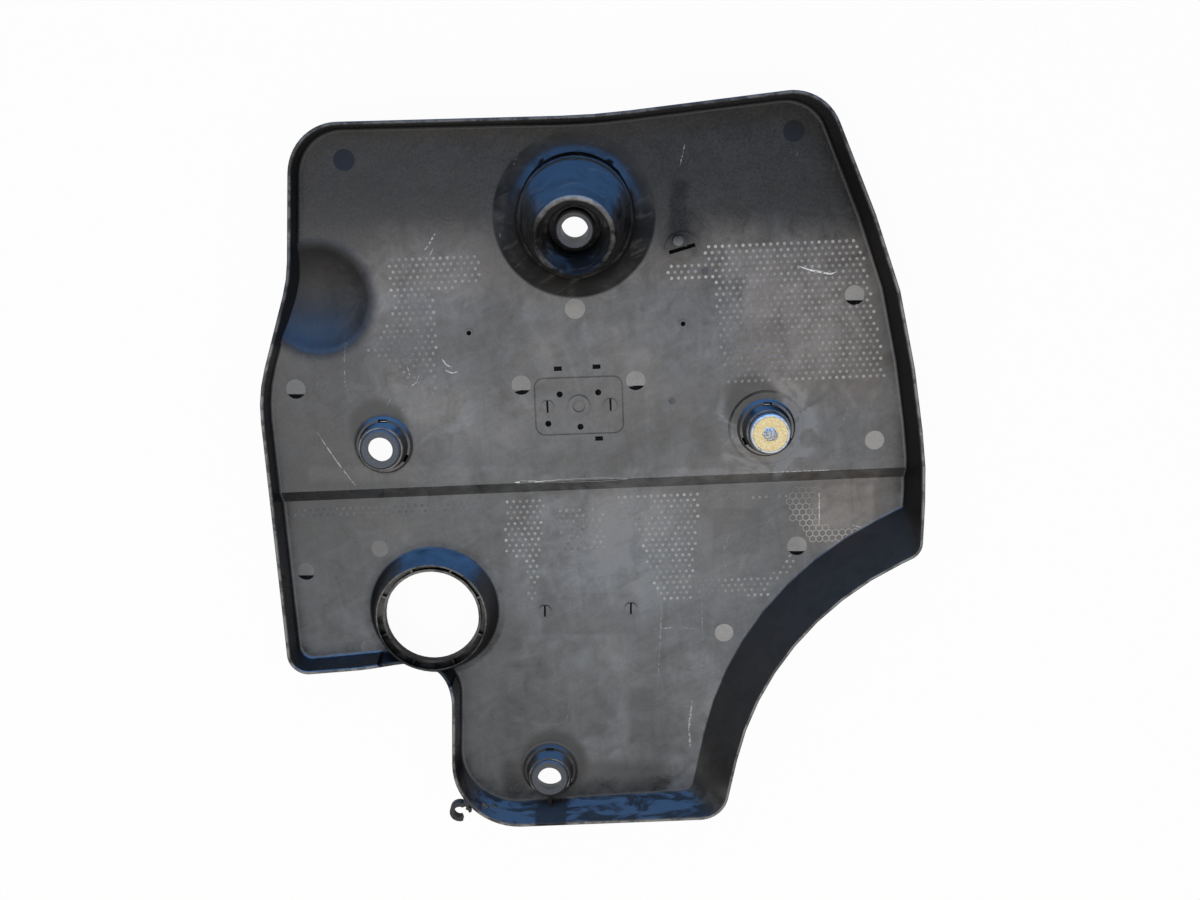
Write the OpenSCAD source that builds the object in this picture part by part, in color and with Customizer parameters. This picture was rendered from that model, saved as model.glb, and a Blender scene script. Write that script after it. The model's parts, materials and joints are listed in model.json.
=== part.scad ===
// Moulded engine cover, shown lying on its outer face with the inside up.
// Sheet datum: near the middle of the cover, on the inner face of the upper deck.

/* [Shell] */
// Thickness of the deck and of the walls
wall_t = 2.5; // [2:0.1:3.5]
// Fillet inside the pan, where the deck turns up into the walls
pan_fillet = 2.5; // [1.5:0.5:6]
// Height of the rim above the upper deck at the left side
rim_left_h = 14; // [12:1:32]
// Height of the rim above the upper deck at the right side
rim_right_h = 39; // [32:1:46]
// Chamfer on both edges of the rim
rim_chamfer = 0.6; // [0.3:0.1:0.9]
// How far the foot of a plain wall lies inside its rim
wall_draft = 1.2; // [0.5:0.1:2.5]
// How far the sloped wall along the hollow side leans in
slope_lean = 18.5; // [12:0.5:22]
// The same for the wall at the end of the leg
leg_draft = 3; // [1:0.5:6]

/* [Step] */
// Drop from the upper deck to the lower deck
step_drop = 7; // [4:0.5:10]
// Run of the sloped face between the decks
step_run = 8.5; // [5:0.5:10]
// Place of the step's upper edge at the middle of the cover
step_y = -22; // [-28:0.5:-18]
// Slope of the step line, in degrees
step_angle = 2.4; // [0:0.1:4]

/* [Finger bowl] */
// Radius of the bowl's mouth in the upper deck
bowl_r = 41; // [36:1:44]
// Depth of the bowl below the upper deck
bowl_depth = 15; // [9:1:20]
// Place of the bowl, x
bowl_x = -199; // [-203:1:-194]
// Place of the bowl, y
bowl_y = 108; // [100:1:115]

/* [Centre tower] */
// Radius of the tower's cone at the deck
tower_base_r = 41.5; // [38:0.5:44]
// Height of the flare round the tower's foot
tower_flare_h = 10; // [6:1:13]
// How far that flare runs out on the deck
tower_flare = 14.5; // [8:0.5:16]
// Outer radius of the tower's tip
tower_tip_r = 27.3; // [24:0.1:30]
// Height of the tip along the tower's axis
tower_h = 55; // [45:1:62]
// Lean of the tower's axis towards the step, in degrees
tower_lean = 12; // [6:0.5:14]
// Place of the tower's foot, x
tower_x = -17; // [-24:1:-10]
// Place of the tower's foot, y
tower_y = 165; // [161:0.5:167]
// Height of the seat that carries the bush, above the tower's foot
tower_seat_h = 22.5; // [18:0.5:26]
// Thickness of that seat
tower_seat_t = 3.5; // [2.5:0.5:5]

/* [Fixing bosses] */
// Outer radius of a boss at the deck
boss_base_r = 20; // [18.8:0.1:22]
// Outer radius of a boss at its tip
boss_tip_r = 15.8; // [15.6:0.1:16.4]
// Radius of the pocket that takes the bush
boss_pocket_r = 14.6; // [14:0.1:15]
// Depth of that pocket
boss_pocket_depth = 7; // [5:0.5:9]
// Height of the left boss above its deck
left_boss_h = 17; // [14:1:22]
// Height of the right boss above its deck
right_boss_h = 17; // [14:1:22]
// Height of the bottom boss above its deck
bottom_boss_h = 15; // [13:1:20]
// Height of the ledge round a boss
boss_ledge = 5; // [4:0.5:7]
// Flare at the foot of a boss
boss_flare = 3; // [1.5:0.5:5]
// Width of the slots through a boss's ledge
window_w = 6; // [4:0.5:8]
// Opening of those slots
window_h = 2.4; // [1.6:0.1:3]
// Radius of the flat pad round the right boss
pad_r = 27; // [25:1:30]
// Height of that pad
pad_h = 0.8; // [0.4:0.1:1.5]

/* [Bushes] */
// Gap between a bush and its pocket
bush_gap = 0.3; // [0.2:0.05:0.5]
// Radius of a bush's bore
bush_bore_r = 8.8; // [8:0.1:9.5]
// Length of the bore's tight land in a boss bush
bush_land = 3.5; // [2.5:0.5:6]
// Radius of the tower bush's bore
tower_bore_r = 9.1; // [8.5:0.1:9.8]
// Length of the tower bush's head above its seat
tower_bush_head = 10.8; // [8:0.2:13]
// Length of a boss bush's head above its seat
bush_head = 8.8; // [7.4:0.2:10]
// Thickness of a bush's collar under its seat
bush_foot = 2.4; // [1.6:0.2:3.2]

/* [Captive screw] */
// Outer radius of the sleeve that the right bush holds
sleeve_r = 14; // [13.6:0.1:14.2]
// Height of the sleeve's end above the bush's seat
sleeve_h = 18; // [16:0.5:21]
// Radius of the passivated washer in the sleeve's end
washer_r = 12.1; // [11.4:0.1:12.6]
// Thickness of the washer
washer_t = 1.2; // [0.8:0.1:1.6]
// Radius of the screw's shank
screw_r = 3; // [2.5:0.1:4]

/* [Filler collar] */
// Radius of the oil filler opening
opening_r = 34.2; // [31:0.1:35]
// Outer radius of the collar at the deck
collar_base_r = 48; // [46:0.5:50]
// Flare at the collar's foot
collar_flare = 3; // [1.5:0.5:4]
// Outer radius of the collar at its rim
collar_rim_r = 41; // [40:0.2:42.5]
// Height of the collar above the lower deck
collar_h = 21; // [16:1:26]
// Thickness of each of its two walls
collar_wall = 1.8; // [1.5:0.1:2.2]
// Depth of the groove between them
groove_depth = 9; // [7:0.5:12]
// How much lower the inner wall stands
lip_drop = 4; // [2:0.5:5]
// Count of ribs across the groove
groove_ribs = 8; // [4:1:12]

/* [Insert seat] */
// Width of the insert seat
seat_w = 63.5; // [56:0.5:70]
// Height of the insert seat
seat_l = 42; // [36:0.5:48]
// Depth of the witness groove round it
seat_groove = 0.6; // [0.3:0.1:0.9]
// Width of that groove
seat_groove_w = 1; // [0.6:0.1:1.4]

/* [Ejector slots] */
// Radius of an ejector's mark, whose lower part is a slot
slot_r = 7; // [6:0.5:8]
// Depth of that slot
slot_depth = 1.4; // [0.8:0.1:1.8]
// Distance of the slot's straight edge from the mark's middle, as a share of its radius
slot_chord = 0.52; // [0.3:0.02:0.7]

/* [Hidden] */
$fn = 96;
arc_step = 7;
fillet_steps = 5;
least_r = 3;
cut = 1;

// Corners of the rim, counterclockwise: x, y, corner radius, lean of the wall that follows
corners = [
    [-228.8, -167.2, 15, wall_draft],
    [-108, -154.5, 30, wall_draft],
    [-111, -287, 48, leg_draft],
    [91.3, -272.7, 22, slope_lean],
    [120.3, -122.9, 220, slope_lean],
    [226, -66.5, 13, wall_draft],
    [226, -4, 300, wall_draft],
    [205, 118, 450, wall_draft],
    [147.5, 250.5, 34, wall_draft],
    [-4, 232.3, 500, wall_draft],
    [-209.6, 227.5, 36, wall_draft],
    [-215.6, 123.2, 100, wall_draft],
    [-240.4, 42.2, 110, wall_draft]
];
corner_count = len(corners);
function nth(i) = (i + corner_count) % corner_count;
function flat(p) = [p[0], p[1]];
function unit(v) = v / norm(v);
function left_of(v) = [-v[1], v[0]];
function turned(v, a) = [v[0] * cos(a) - v[1] * sin(a), v[0] * sin(a) + v[1] * cos(a)];
function heading(i) = unit(flat(corners[nth(i + 1)]) - flat(corners[nth(i)]));
function turn(i) = atan2(cross(heading(i - 1), heading(i)), heading(i - 1) * heading(i));
function arcs(i) = max(2, ceil(abs(turn(i)) / arc_step));

// Inset of the wall that follows corner i: a plain inset, and a share of that wall's lean
function inset(i, plain, share) = plain + share * corners[nth(i)][3];
function moved(i, plain, share) = flat(corners[i])
    + (inset(i - 1, plain, share) * heading(i) - inset(i, plain, share) * heading(i - 1))
    / cross(heading(i - 1), heading(i));
function radius(i, plain, share) = let (a = (inset(i - 1, plain, share) + inset(i, plain, share)) / 2)
    turn(i) > 0 ? max(corners[i][2] - a, least_r) : corners[i][2] + a;
function rounded(i, plain, share) = let (
        side = sign(turn(i)),
        r = radius(i, plain, share),
        start = moved(i, plain, share) - heading(i - 1) * r * tan(abs(turn(i)) / 2),
        spoke = -left_of(heading(i - 1)) * side * r
    )
    [for (k = [0:arcs(i)]) start - spoke + turned(spoke, turn(i) * k / arcs(i))];
// The two straight runs beside the filler collar, where the rim dips, have more points
dip_points = 7;
function dip_run(i, plain, share) = let (
        a = rounded(i, plain, share)[arcs(i)],
        b = rounded(nth(i + 1), plain, share)[0]
    )
    [for (k = [1:dip_points]) if (i < 2) a + (b - a) * k / (dip_points + 1)];
function outline(plain, share) =
    with_step([for (i = [0:corner_count - 1]) each concat(rounded(i, plain, share), dip_run(i, plain, share))]);

// The step line: how far a point lies above its upper edge, and the deck's level there
function above_step(p) = p[1] - step_y - tan(step_angle) * p[0];
function crossing(a, b, at) = a + (b - a) * (at - above_step(a)) / (above_step(b) - above_step(a));
function crossed(a, b, at) = (above_step(a) - at) * (above_step(b) - at) < 0;
function with_step(points) = [for (k = [0:len(points) - 1])
    let (a = points[k], b = points[(k + 1) % len(points)],
         levels = above_step(b) > above_step(a) ? [-step_run, 0] : [0, -step_run])
    each concat([a], [for (at = levels) if (crossed(a, b, at)) crossing(a, b, at)])];
function level(p) = -step_drop * min(1, max(0, -above_step(p) / step_run));

rim_points = outline(0, 0);
left_x = min([for (p = rim_points) p[0]]);
right_x = max([for (p = rim_points) p[0]]);
low_y = min([for (p = rim_points) p[1]]);
high_y = max([for (p = rim_points) p[1]]);
function rim_line(p) = rim_left_h + (rim_right_h - rim_left_h) * (p[0] - left_x) / (right_x - left_x);
foot_inset = wall_t + pan_fillet;

left_boss = [-155, 4];
right_boss = [119, 16.5];
bottom_boss = [-38, -251];
collar_at = [-123, -122.5];
seat_at = [-15, 32.5];
seat_turn = 2;

// The rim dips to the filler collar's rim where the two meet
dip_reach = 26;
function eased(t) = t * t * (3 - 2 * t);
function rim_h(p) = let (
        t = min(1, max(0, norm(flat(p) - collar_at) - collar_rim_r) / dip_reach),
        low = collar_h - step_drop - 1
    )
    low + (rim_line(p) - low) * eased(t);
bottom_z = -bowl_depth - wall_t;
origin = [(left_x + right_x) / 2, (low_y + high_y) / 2, bottom_z];

// Rings of the wall's section, each with its plain inset, share of lean and height
function at_rim(plain, drop) = [for (p = outline(plain, 0)) [p[0], p[1], rim_h(p) - drop]];
function at_deck(plain, rise) = [for (p = outline(plain, 1)) [p[0], p[1], level(p) + rise]];
function fillet_ring(r, a) = at_deck(foot_inset - r * sin(a), pan_fillet - r * cos(a));
wall_rings = concat(
    [for (k = [0:fillet_steps]) fillet_ring(pan_fillet + wall_t, 90 * k / fillet_steps)],
    [at_rim(0, rim_chamfer), at_rim(rim_chamfer, 0),
     at_rim(wall_t - rim_chamfer, 0), at_rim(wall_t, rim_chamfer)],
    [for (k = [fillet_steps:-1:0]) fillet_ring(pan_fillet, 90 * k / fillet_steps)]
);

// The pan's blank: the wall's rings, closed by the two faces of the stepped deck.
// Each deck is a fan about a point that sees its whole edge, and the step is a strip between.
upper_hub = [tower_x, tower_y];
lower_hub = [-20, -110];
near = 0.001;
function on_level(ring, at) = [for (j = [0:len(ring) - 1])
    if (abs(above_step(ring[j]) - at) < near) j];
function middle(ring, j) = above_step((ring[j] + ring[(j + 1) % len(ring)]) / 2);

// Faces of one side of the deck: k is its ring, hub the index of its first hub point
function deck_faces(rings, k, hub) = let (
        ring = rings[k],
        n = len(ring),
        up = on_level(ring, 0),
        low = on_level(ring, -step_run)
    )
    concat(
        [for (j = [0:n - 1]) if (middle(ring, j) > 0) [k * n + j, k * n + (j + 1) % n, hub]],
        [for (j = [0:n - 1]) if (middle(ring, j) < -step_run) [k * n + j, k * n + (j + 1) % n, hub + 1]],
        [for (j = [0:n - 1]) if (middle(ring, j) < 0 && middle(ring, j) > -step_run)
            [k * n + j, k * n + (j + 1) % n, k * n + (j < up[1] ? up[1] : low[0])]],
        [[k * n + up[1], k * n + up[0], hub], [k * n + low[0], k * n + low[1], hub + 1]]
    );
function flipped(faces) = [for (f = faces) [f[0], f[2], f[1]]];

module pan_blank() {
    rings = wall_rings;
    n = len(rings[0]);
    m = len(rings);
    hubs = [[upper_hub[0], upper_hub[1], -wall_t], [lower_hub[0], lower_hub[1], -step_drop - wall_t],
            [upper_hub[0], upper_hub[1], 0], [lower_hub[0], lower_hub[1], -step_drop]];
    polyhedron(
        points = concat([for (ring = rings) each ring], hubs),
        faces = concat(
            [for (k = [0:m - 2]) for (j = [0:n - 1])
                let (a = k * n + j, b = k * n + (j + 1) % n, c = (k + 1) * n + (j + 1) % n, d = (k + 1) * n + j)
                each [[a, c, b], [a, d, c]]],
            deck_faces(rings, 0, m * n),
            flipped(deck_faces(rings, m - 1, m * n + 2))
        )
    );
}

module prism(plain, low, high) {
    translate([0, 0, low])
        linear_extrude(height = high - low)
            polygon(outline(plain, 0));
}

// Finger bowl at the left side: a round hollow with a soft lip, which the wall closes
bowl_lip = 10;
bowl_steps = 12;
bowl_ball_r = (bowl_r * bowl_r / bowl_depth + bowl_depth) / 2 - bowl_lip;
bowl_turn = asin(bowl_r / (bowl_ball_r + bowl_lip));
function bowl_profile(grow) = concat(
    [[0, bowl_ball_r - bowl_depth - (bowl_ball_r + grow) * cos(bowl_turn / bowl_steps)]],
    [for (k = [1:bowl_steps]) let (a = bowl_turn * k / bowl_steps, r = bowl_ball_r + grow)
        [r * sin(a), bowl_ball_r - bowl_depth - r * cos(a)]],
    [for (k = [bowl_steps / 2 - 1:-1:1]) let (a = 2 * bowl_turn * k / bowl_steps, r = bowl_lip - grow)
        [bowl_r - r * sin(a), -bowl_lip + r * cos(a)]]
);
module bowl(grow, top) {
    translate([bowl_x, bowl_y, 0])
        rotate_extrude($fn = 120)
            polygon(concat(bowl_profile(grow), [[bowl_r, -grow], [bowl_r, top], [0, top]]));
}

module bowl_shell() {
    intersection() {
        bowl(wall_t, -wall_t / 2);
        prism(wall_draft, bottom_z - cut, 0);
    }
}

module bowl_hollow() {
    intersection() {
        bowl(0, pan_fillet);
        prism(wall_draft + wall_t, bottom_z, pan_fillet * 0.8);
    }
}

module at_tower() {
    translate([tower_x, tower_y, 0])
        rotate([tower_lean, 0, 0])
            children();
}

tower_skin = 3;
tower_pocket_r = 17.6;
funnel_drop = 13;
tower_lip = 2;
tower_seat_top = tower_seat_h + tower_seat_t;
tower_neck_r = 11.8;
pocket_wall = 3.4;
tower_low = -20;
function tower_r(s) = tower_base_r + (tower_tip_r - tower_base_r) * s / tower_h;

// Concave quarter round from the deck, at radius r + reach, up to radius r at height h
flare_steps = 5;
function flare(r, h, reach) = [for (k = [0:flare_steps]) let (a = 90 * k / flare_steps)
    [r + reach * (1 - sin(a)), h * (1 - cos(a))]];
flare_r = tower_r(tower_flare_h) + 0.2;

// The tower leans. Its foot flares out on the deck, and its tip holds the funnel, pocket and seat.
module tower_solid() {
    at_tower()
        rotate_extrude()
            polygon([
                [0, tower_low], [tower_r(tower_low), tower_low], [tower_tip_r, tower_h - cut],
                [tower_tip_r - cut, tower_h], [0, tower_h]
            ]);
}

module at_flare() {
    translate([tower_x, tower_y - tower_flare_h * tan(tower_lean), 0])
        children();
}

module tower_foot() {
    at_flare()
        rotate_extrude()
            polygon(concat(
                [[0, -wall_t], [flare_r + tower_flare, -wall_t]],
                flare(flare_r, tower_flare_h, tower_flare),
                [[0, tower_flare_h]]
            ));
}

module tower_mouth() {
    at_tower()
        rotate_extrude()
            polygon([
                [0, tower_low - cut], [tower_r(tower_low) - tower_skin, tower_low - cut],
                [tower_r(tower_seat_h) - tower_skin - 2, tower_seat_h],
                [tower_neck_r, tower_seat_h], [tower_neck_r, tower_seat_top],
                [tower_pocket_r, tower_seat_top], [tower_pocket_r, tower_h - funnel_drop],
                [tower_tip_r - tower_lip - 1.4, tower_h - 1.5], [tower_tip_r - tower_lip, tower_h],
                [tower_tip_r - tower_lip, tower_h + cut], [0, tower_h + cut]
            ]);
    // Between its skin and the pocket's wall the tower is hollow too
    hollow_top = tower_h - funnel_drop - tower_skin;
    at_tower()
        rotate_extrude()
            polygon([
                [tower_pocket_r + pocket_wall, tower_seat_h - cut],
                [tower_r(tower_seat_h) - tower_skin - 2, tower_seat_h - cut],
                [tower_r(hollow_top) - tower_skin, hollow_top],
                [tower_pocket_r + pocket_wall, hollow_top]
            ]);
    at_flare()
        translate([0, 0, -tower_skin])
            rotate_extrude()
                polygon(concat(
                    [[0, -cut], [flare_r - tower_skin + tower_flare, -cut]],
                    flare(flare_r - tower_skin, tower_flare_h, tower_flare),
                    [[0, tower_flare_h]]
                ));
}

drain_r = 1.2;
module tower_drain() {
    at_tower()
        translate([0, tower_pocket_r + drain_r / 2, tower_seat_top - cut])
            cylinder(r = drain_r, h = tower_h, $fn = 24);
}

// Space above the outer face of the deck, which trims what leans out below it
module above_outside() {
    half = tower_base_r * 2;
    translate([tower_x - half, tower_y - half, -wall_t])
        cube([2 * half, 2 * half, 2 * tower_h]);
}

// A fixing boss stands on its deck, with a pocket above its seat and a recess below it
boss_seat_t = 3;
boss_neck_r = 13;
ledge_w = 2.4;
function boss_seat(h) = h - boss_pocket_depth - boss_seat_t;

module boss_solid(h) {
    rotate_extrude()
        polygon(concat(
            [[0, -wall_t], [boss_base_r + boss_flare, -wall_t]],
            flare(boss_base_r, boss_flare, boss_flare),
            [[boss_base_r - 0.3, boss_ledge - 0.6], [boss_base_r - 0.9, boss_ledge],
             [boss_base_r - ledge_w, boss_ledge],
             [boss_tip_r + 0.3, h - 0.8], [boss_tip_r - 0.4, h], [0, h]]
        ));
}

boss_recess_r = boss_base_r - 2.2;
module boss_hollow(h) {
    rotate_extrude()
        polygon([
            [0, -wall_t - cut], [boss_recess_r, -wall_t - cut],
            [boss_pocket_r + 0.2, boss_seat(h)], [boss_neck_r, boss_seat(h)],
            [boss_neck_r, boss_seat(h) + boss_seat_t], [boss_pocket_r, boss_seat(h) + boss_seat_t],
            [boss_pocket_r, h + cut], [0, h + cut]
        ]);
}

// Slots through the ledge and the deck, where the mould shuts off for a snap
module boss_windows() {
    for (a = [90, 210, 330])
        rotate([0, 0, a])
            translate([boss_base_r - 0.8 - window_h, -window_w / 2, -wall_t - cut])
                cube([window_h, window_w, wall_t + boss_ledge + 3]);
}

module at_boss(place, deck_z) {
    translate([place[0], place[1], deck_z])
        children();
}

module bosses_solid() {
    at_boss(left_boss, 0) boss_solid(left_boss_h);
    at_boss(right_boss, 0) boss_solid(right_boss_h);
    at_boss(right_boss, 0) translate([0, 0, -wall_t / 2])
        cylinder(r = pad_r, h = pad_h + wall_t / 2);
    at_boss(bottom_boss, -step_drop) boss_solid(bottom_boss_h);
}

module bosses_hollow() {
    at_boss(left_boss, 0) boss_hollow(left_boss_h);
    at_boss(right_boss, 0) boss_hollow(right_boss_h);
    at_boss(bottom_boss, -step_drop) boss_hollow(bottom_boss_h);
    at_boss(left_boss, 0) boss_windows();
    at_boss(right_boss, 0) boss_windows();
    at_boss(bottom_boss, -step_drop) boss_windows();
}

// Filler collar: a conical outer wall, a short inner wall, and a ribbed groove between them
web_t = 1.6;
groove_z = collar_h - groove_depth;
function collar_r(z) = collar_base_r + (collar_rim_r - collar_base_r) * z / collar_h;
module collar_solid() {
    rotate_extrude()
        polygon(concat(
            [[0, -wall_t], [collar_base_r + collar_flare, -wall_t]],
            flare(collar_r(collar_flare), collar_flare, collar_flare),
            [[collar_r(collar_h - 0.8), collar_h - 0.8], [collar_rim_r - 0.6, collar_h], [0, collar_h]]
        ));
}

groove_in = opening_r + collar_wall;
rib_t = 1.6;
nudge = 0.01;
module collar_groove() {
    difference() {
        rotate_extrude()
            polygon([
                [groove_in, groove_z], [collar_r(groove_z) - collar_wall, groove_z],
                [collar_rim_r - collar_wall, collar_h + cut], [groove_in, collar_h + cut]
            ]);
        for (k = [0:groove_ribs - 1])
            rotate([0, 0, 360 * (k + 0.5) / groove_ribs])
                translate([groove_in - cut, -rib_t / 2, groove_z - cut])
                    cube([collar_base_r - groove_in, rib_t, groove_depth - lip_drop]);
    }
}

module collar_hollow() {
    translate([0, 0, -wall_t - cut])
        cylinder(r = opening_r, h = collar_h + wall_t + 2 * cut);
    collar_groove();
    translate([0, 0, collar_h - lip_drop])
        cylinder(r = groove_in + nudge, h = lip_drop + cut);
    // Below the groove's web the collar is open to the outside
    translate([0, 0, -wall_t - cut])
        rotate_extrude()
            polygon([
                [0, 0], [collar_base_r - collar_wall, 0],
                [collar_r(groove_z - web_t) - collar_wall, wall_t + cut + groove_z - web_t],
                [0, wall_t + cut + groove_z - web_t]
            ]);
}

// Clears the pan's wall and fillet out of the collar
module collar_room() {
    translate([collar_at[0], collar_at[1], -step_drop])
        cylinder(r = collar_rim_r - 1, h = step_drop + rim_right_h);
}

// Witness groove of the insert seat, with its pegs, cups and moulding pockets
module seat_outline(grow) {
    corner = 7 + grow;
    w = seat_w / 2 + grow - corner;
    l = seat_l / 2 + grow - corner;
    for (x = [-w, w]) for (y = [-l, l])
        translate([x, y]) circle(r = corner, $fn = 32);
    square([2 * (w + corner), 2 * l], center = true);
    square([2 * w, 2 * (l + corner)], center = true);
}

module at_seat() {
    translate([seat_at[0], seat_at[1], 0])
        rotate([0, 0, seat_turn])
            children();
}

module seat_groove_cut() {
    at_seat()
        translate([0, 0, -seat_groove])
            linear_extrude(height = seat_groove + cut)
                difference() {
                    seat_outline(0);
                    seat_outline(-seat_groove_w);
                }
}

peg_r = 4.5;
peg_h = 1.6;
peg_slot = 1.4;
peg_slot_z = 0.4;
hole_depth = 2;
seat_peg_x = 22.5;
seat_pockets = [[-13.5, 8.5], [14, 9], [0.5, -15.5], [-22.5, -12.5]];
seat_pocket_r = 2.2;
seat_notches = [[-14, 27], [13.5, 27.5], [13.5, -24.5]];
seat_notch = [5.6, 3.2];
cup_r = 7.5;
cup_inner_r = 4.6;
cup_h = 2.2;
module seat_pegs() {
    at_seat() {
        for (x = [-seat_peg_x, seat_peg_x])
            translate([x, 0, -wall_t / 2])
                cylinder(r = peg_r, h = peg_h + wall_t / 2, $fn = 48);
        translate([0, 0, -wall_t / 2])
            cylinder(r = cup_r, h = cup_h + wall_t / 2, $fn = 64);
    }
}

module seat_peg_cuts() {
    at_seat() {
        for (x = [-seat_peg_x, seat_peg_x])
            translate([x - peg_slot / 2, -peg_r - cut, peg_slot_z])
                cube([peg_slot, 2 * (peg_r + cut), peg_h + cut]);
        translate([0, 0, peg_slot_z])
            cylinder(r = cup_inner_r, h = cup_h, $fn = 48);
        for (p = seat_pockets)
            translate([p[0], p[1], -hole_depth])
                cylinder(r = seat_pocket_r, h = hole_depth + cut, $fn = 24);
        for (p = seat_notches)
            translate([p[0] - seat_notch[0] / 2, p[1] - seat_notch[1] / 2, -hole_depth])
                cube([seat_notch[0], seat_notch[1], hole_depth + cut]);
    }
}

// Slotted pegs on the lower deck and small locating holes in the upper one
low_pegs = [[-41, -124], [23, -122]];
locators = [[-92.5, 84.5], [58.5, 91]];
locator_r = 3;
locator_h = 1;
locator_hole_r = 1.7;
module deck_pegs() {
    for (p = low_pegs)
        translate([p[0], p[1], -step_drop - wall_t / 2])
            cylinder(r = peg_r, h = peg_h + wall_t / 2, $fn = 48);
    for (p = locators)
        translate([p[0], p[1], -wall_t / 2])
            cylinder(r = locator_r, h = locator_h + wall_t / 2, $fn = 32);
}

module deck_peg_cuts() {
    for (p = low_pegs)
        translate([p[0] - peg_slot / 2, p[1] - peg_r - cut, peg_slot_z - step_drop])
            cube([peg_slot, 2 * (peg_r + cut), peg_h + cut]);
    for (p = locators)
        translate([p[0], p[1], -hole_depth])
            cylinder(r = locator_hole_r, h = hole_depth + locator_h + cut, $fn = 24);
}

// Ejector marks with a slot below their straight edge: place and turn
ejector_slots = [
    [-56.1, 47.3, 14], [25.3, 50.6, 12], [178.6, 111.2, 0],
    [145.2, -73.8, 0], [-216.7, 44.4, 0], [-217.6, -92.8, 0]
];
module ejector_slots_cut() {
    for (p = ejector_slots)
        translate([p[0], p[1], level(p) - slot_depth])
            rotate([0, 0, p[2]])
                difference() {
                    cylinder(r = slot_r, h = slot_depth + cut, $fn = 64);
                    translate([-slot_r - cut, -slot_r * slot_chord, -cut])
                        cube([2 * (slot_r + cut), 2 * (slot_r + cut), slot_depth + 3 * cut]);
                }
}

// Clip for a loom: a lens-shaped foot with a slot through it, and a pin
clip_at = [56.4, 145.8];
clip_turn = 17;
clip_foot_h = 3.2;
clip_lens_r = 12.8;
clip_lens_gap = 3.8;
clip_pin_at = [-1.5, 4];
clip_pin_r = 3.6;
clip_pin_h = 11;
clip_slot = [19, 2.6];
clip_slot_y = -2.4;
module at_clip() {
    translate([clip_at[0], clip_at[1], -wall_t / 2])
        rotate([0, 0, clip_turn])
            children();
}

module loom_clip() {
    at_clip() {
        intersection_for (side = [-1, 1])
            translate([0, side * clip_lens_gap, 0])
                cylinder(r = clip_lens_r, h = clip_foot_h + wall_t / 2, $fn = 64);
        translate([clip_pin_at[0], clip_pin_at[1], 0])
            cylinder(r = clip_pin_r, h = clip_pin_h + wall_t / 2, $fn = 48);
    }
}

module loom_clip_slot() {
    at_clip()
        translate([-clip_slot[0] / 2, clip_slot_y - clip_slot[1] / 2, -wall_t])
            cube([clip_slot[0], clip_slot[1], 2 * wall_t + clip_foot_h]);
}

// Open hook for a hose, outside the rim at the lower left
hook_at = [-105.3, -273.6];
hook_r = 7.4;
hook_wire = 3;
hook_low = 12;
hook_h = 7.2;
hook_arm = [6.2, 3];
hook_arm_inset = 0.4;
tongue_inset = 1.5;
tongue_t = 1.9;
tongue_l = 7.6;
barb_l = 4;
module hose_hook() {
    translate([hook_at[0], hook_at[1], hook_low]) {
        rotate([0, 0, 58])
            rotate_extrude(angle = 232)
                translate([hook_r - hook_wire, 0])
                    square([hook_wire, hook_h]);
        translate([2.2, 3.6, hook_arm_inset])
            rotate([0, 0, 20])
                cube([hook_arm[0], hook_arm[1], hook_h - 2 * hook_arm_inset]);
        // Springy tongue with a barbed end
        translate([3.6, 5.4, tongue_inset])
            rotate([0, 0, -62])
                cube([tongue_l, tongue_t, hook_h - 2 * tongue_inset]);
        translate([4.4, 1.4, tongue_inset])
            rotate([0, 0, -18])
                cube([barb_l, tongue_t, hook_h - 2 * tongue_inset]);
    }
}

// Window in the wall beside the hook, and a thin slit beside it: turn, width, height and level
hook_wall_at = [-63, -236.5];
hook_wall_r = 43;
hook_windows = [[237, 6, 3.8, 9], [246, 7, 1.8, 6]];
module hook_windows_cut() {
    for (w = hook_windows)
        translate([hook_wall_at[0], hook_wall_at[1], w[3]])
            rotate([0, 0, w[0]])
                translate([hook_wall_r - wall_t, -w[1] / 2, 0])
                    cube([4 * wall_t, w[1], w[2]]);
}

// Web between the bottom boss and the bottom wall
module boss_web() {
    translate([bottom_boss[0] - 1.2, low_y + 6, -step_drop - wall_t / 2])
        cube([2.4, bottom_boss[1] - boss_base_r - low_y - 3, bottom_boss_h - 4 + wall_t / 2]);
}

module in_frame() {
    translate([-origin[0], -origin[1], -origin[2]])
        children();
}

module pan() {
    difference() {
        union() {
            pan_blank();
            bowl_shell();
            intersection() {
                tower_solid();
                above_outside();
            }
            tower_foot();
            bosses_solid();
            loom_clip();
            boss_web();
            seat_pegs();
            deck_pegs();
            hose_hook();
        }
        bowl_hollow();
        tower_mouth();
        tower_drain();
        bosses_hollow();
        seat_groove_cut();
        seat_peg_cuts();
        deck_peg_cuts();
        hook_windows_cut();
        collar_room();
        ejector_slots_cut();
        loom_clip_slot();
    }
}

module cover_shell() {
    color("#26282b")
        in_frame()
            difference() {
                union() {
                    pan();
                    translate([collar_at[0], collar_at[1], -step_drop])
                        collar_solid();
                }
                translate([collar_at[0], collar_at[1], -step_drop])
                    collar_hollow();
            }
}

// A rubber bush: a head above its seat, a neck through it and a collar below it. Its bore is tight
// over a land at the top and widens to the relief radius at the foot.
module bush(bore, relief, land, neck, head_r, head_h, seat_t, foot_r) {
    low = -bush_foot - bush_gap;
    top = seat_t + head_h;
    rotate_extrude()
        polygon([
            [relief, low], [foot_r - 1, low], [foot_r, low + 1], [foot_r, -bush_gap],
            [neck, -bush_gap], [neck, seat_t + bush_gap],
            [head_r, seat_t + bush_gap], [head_r, top - 1.2], [head_r - 1.2, top],
            [bore, top], [bore, top - land], [min(relief, bore + 0.6), top - land - nudge]
        ]);
}

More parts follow.
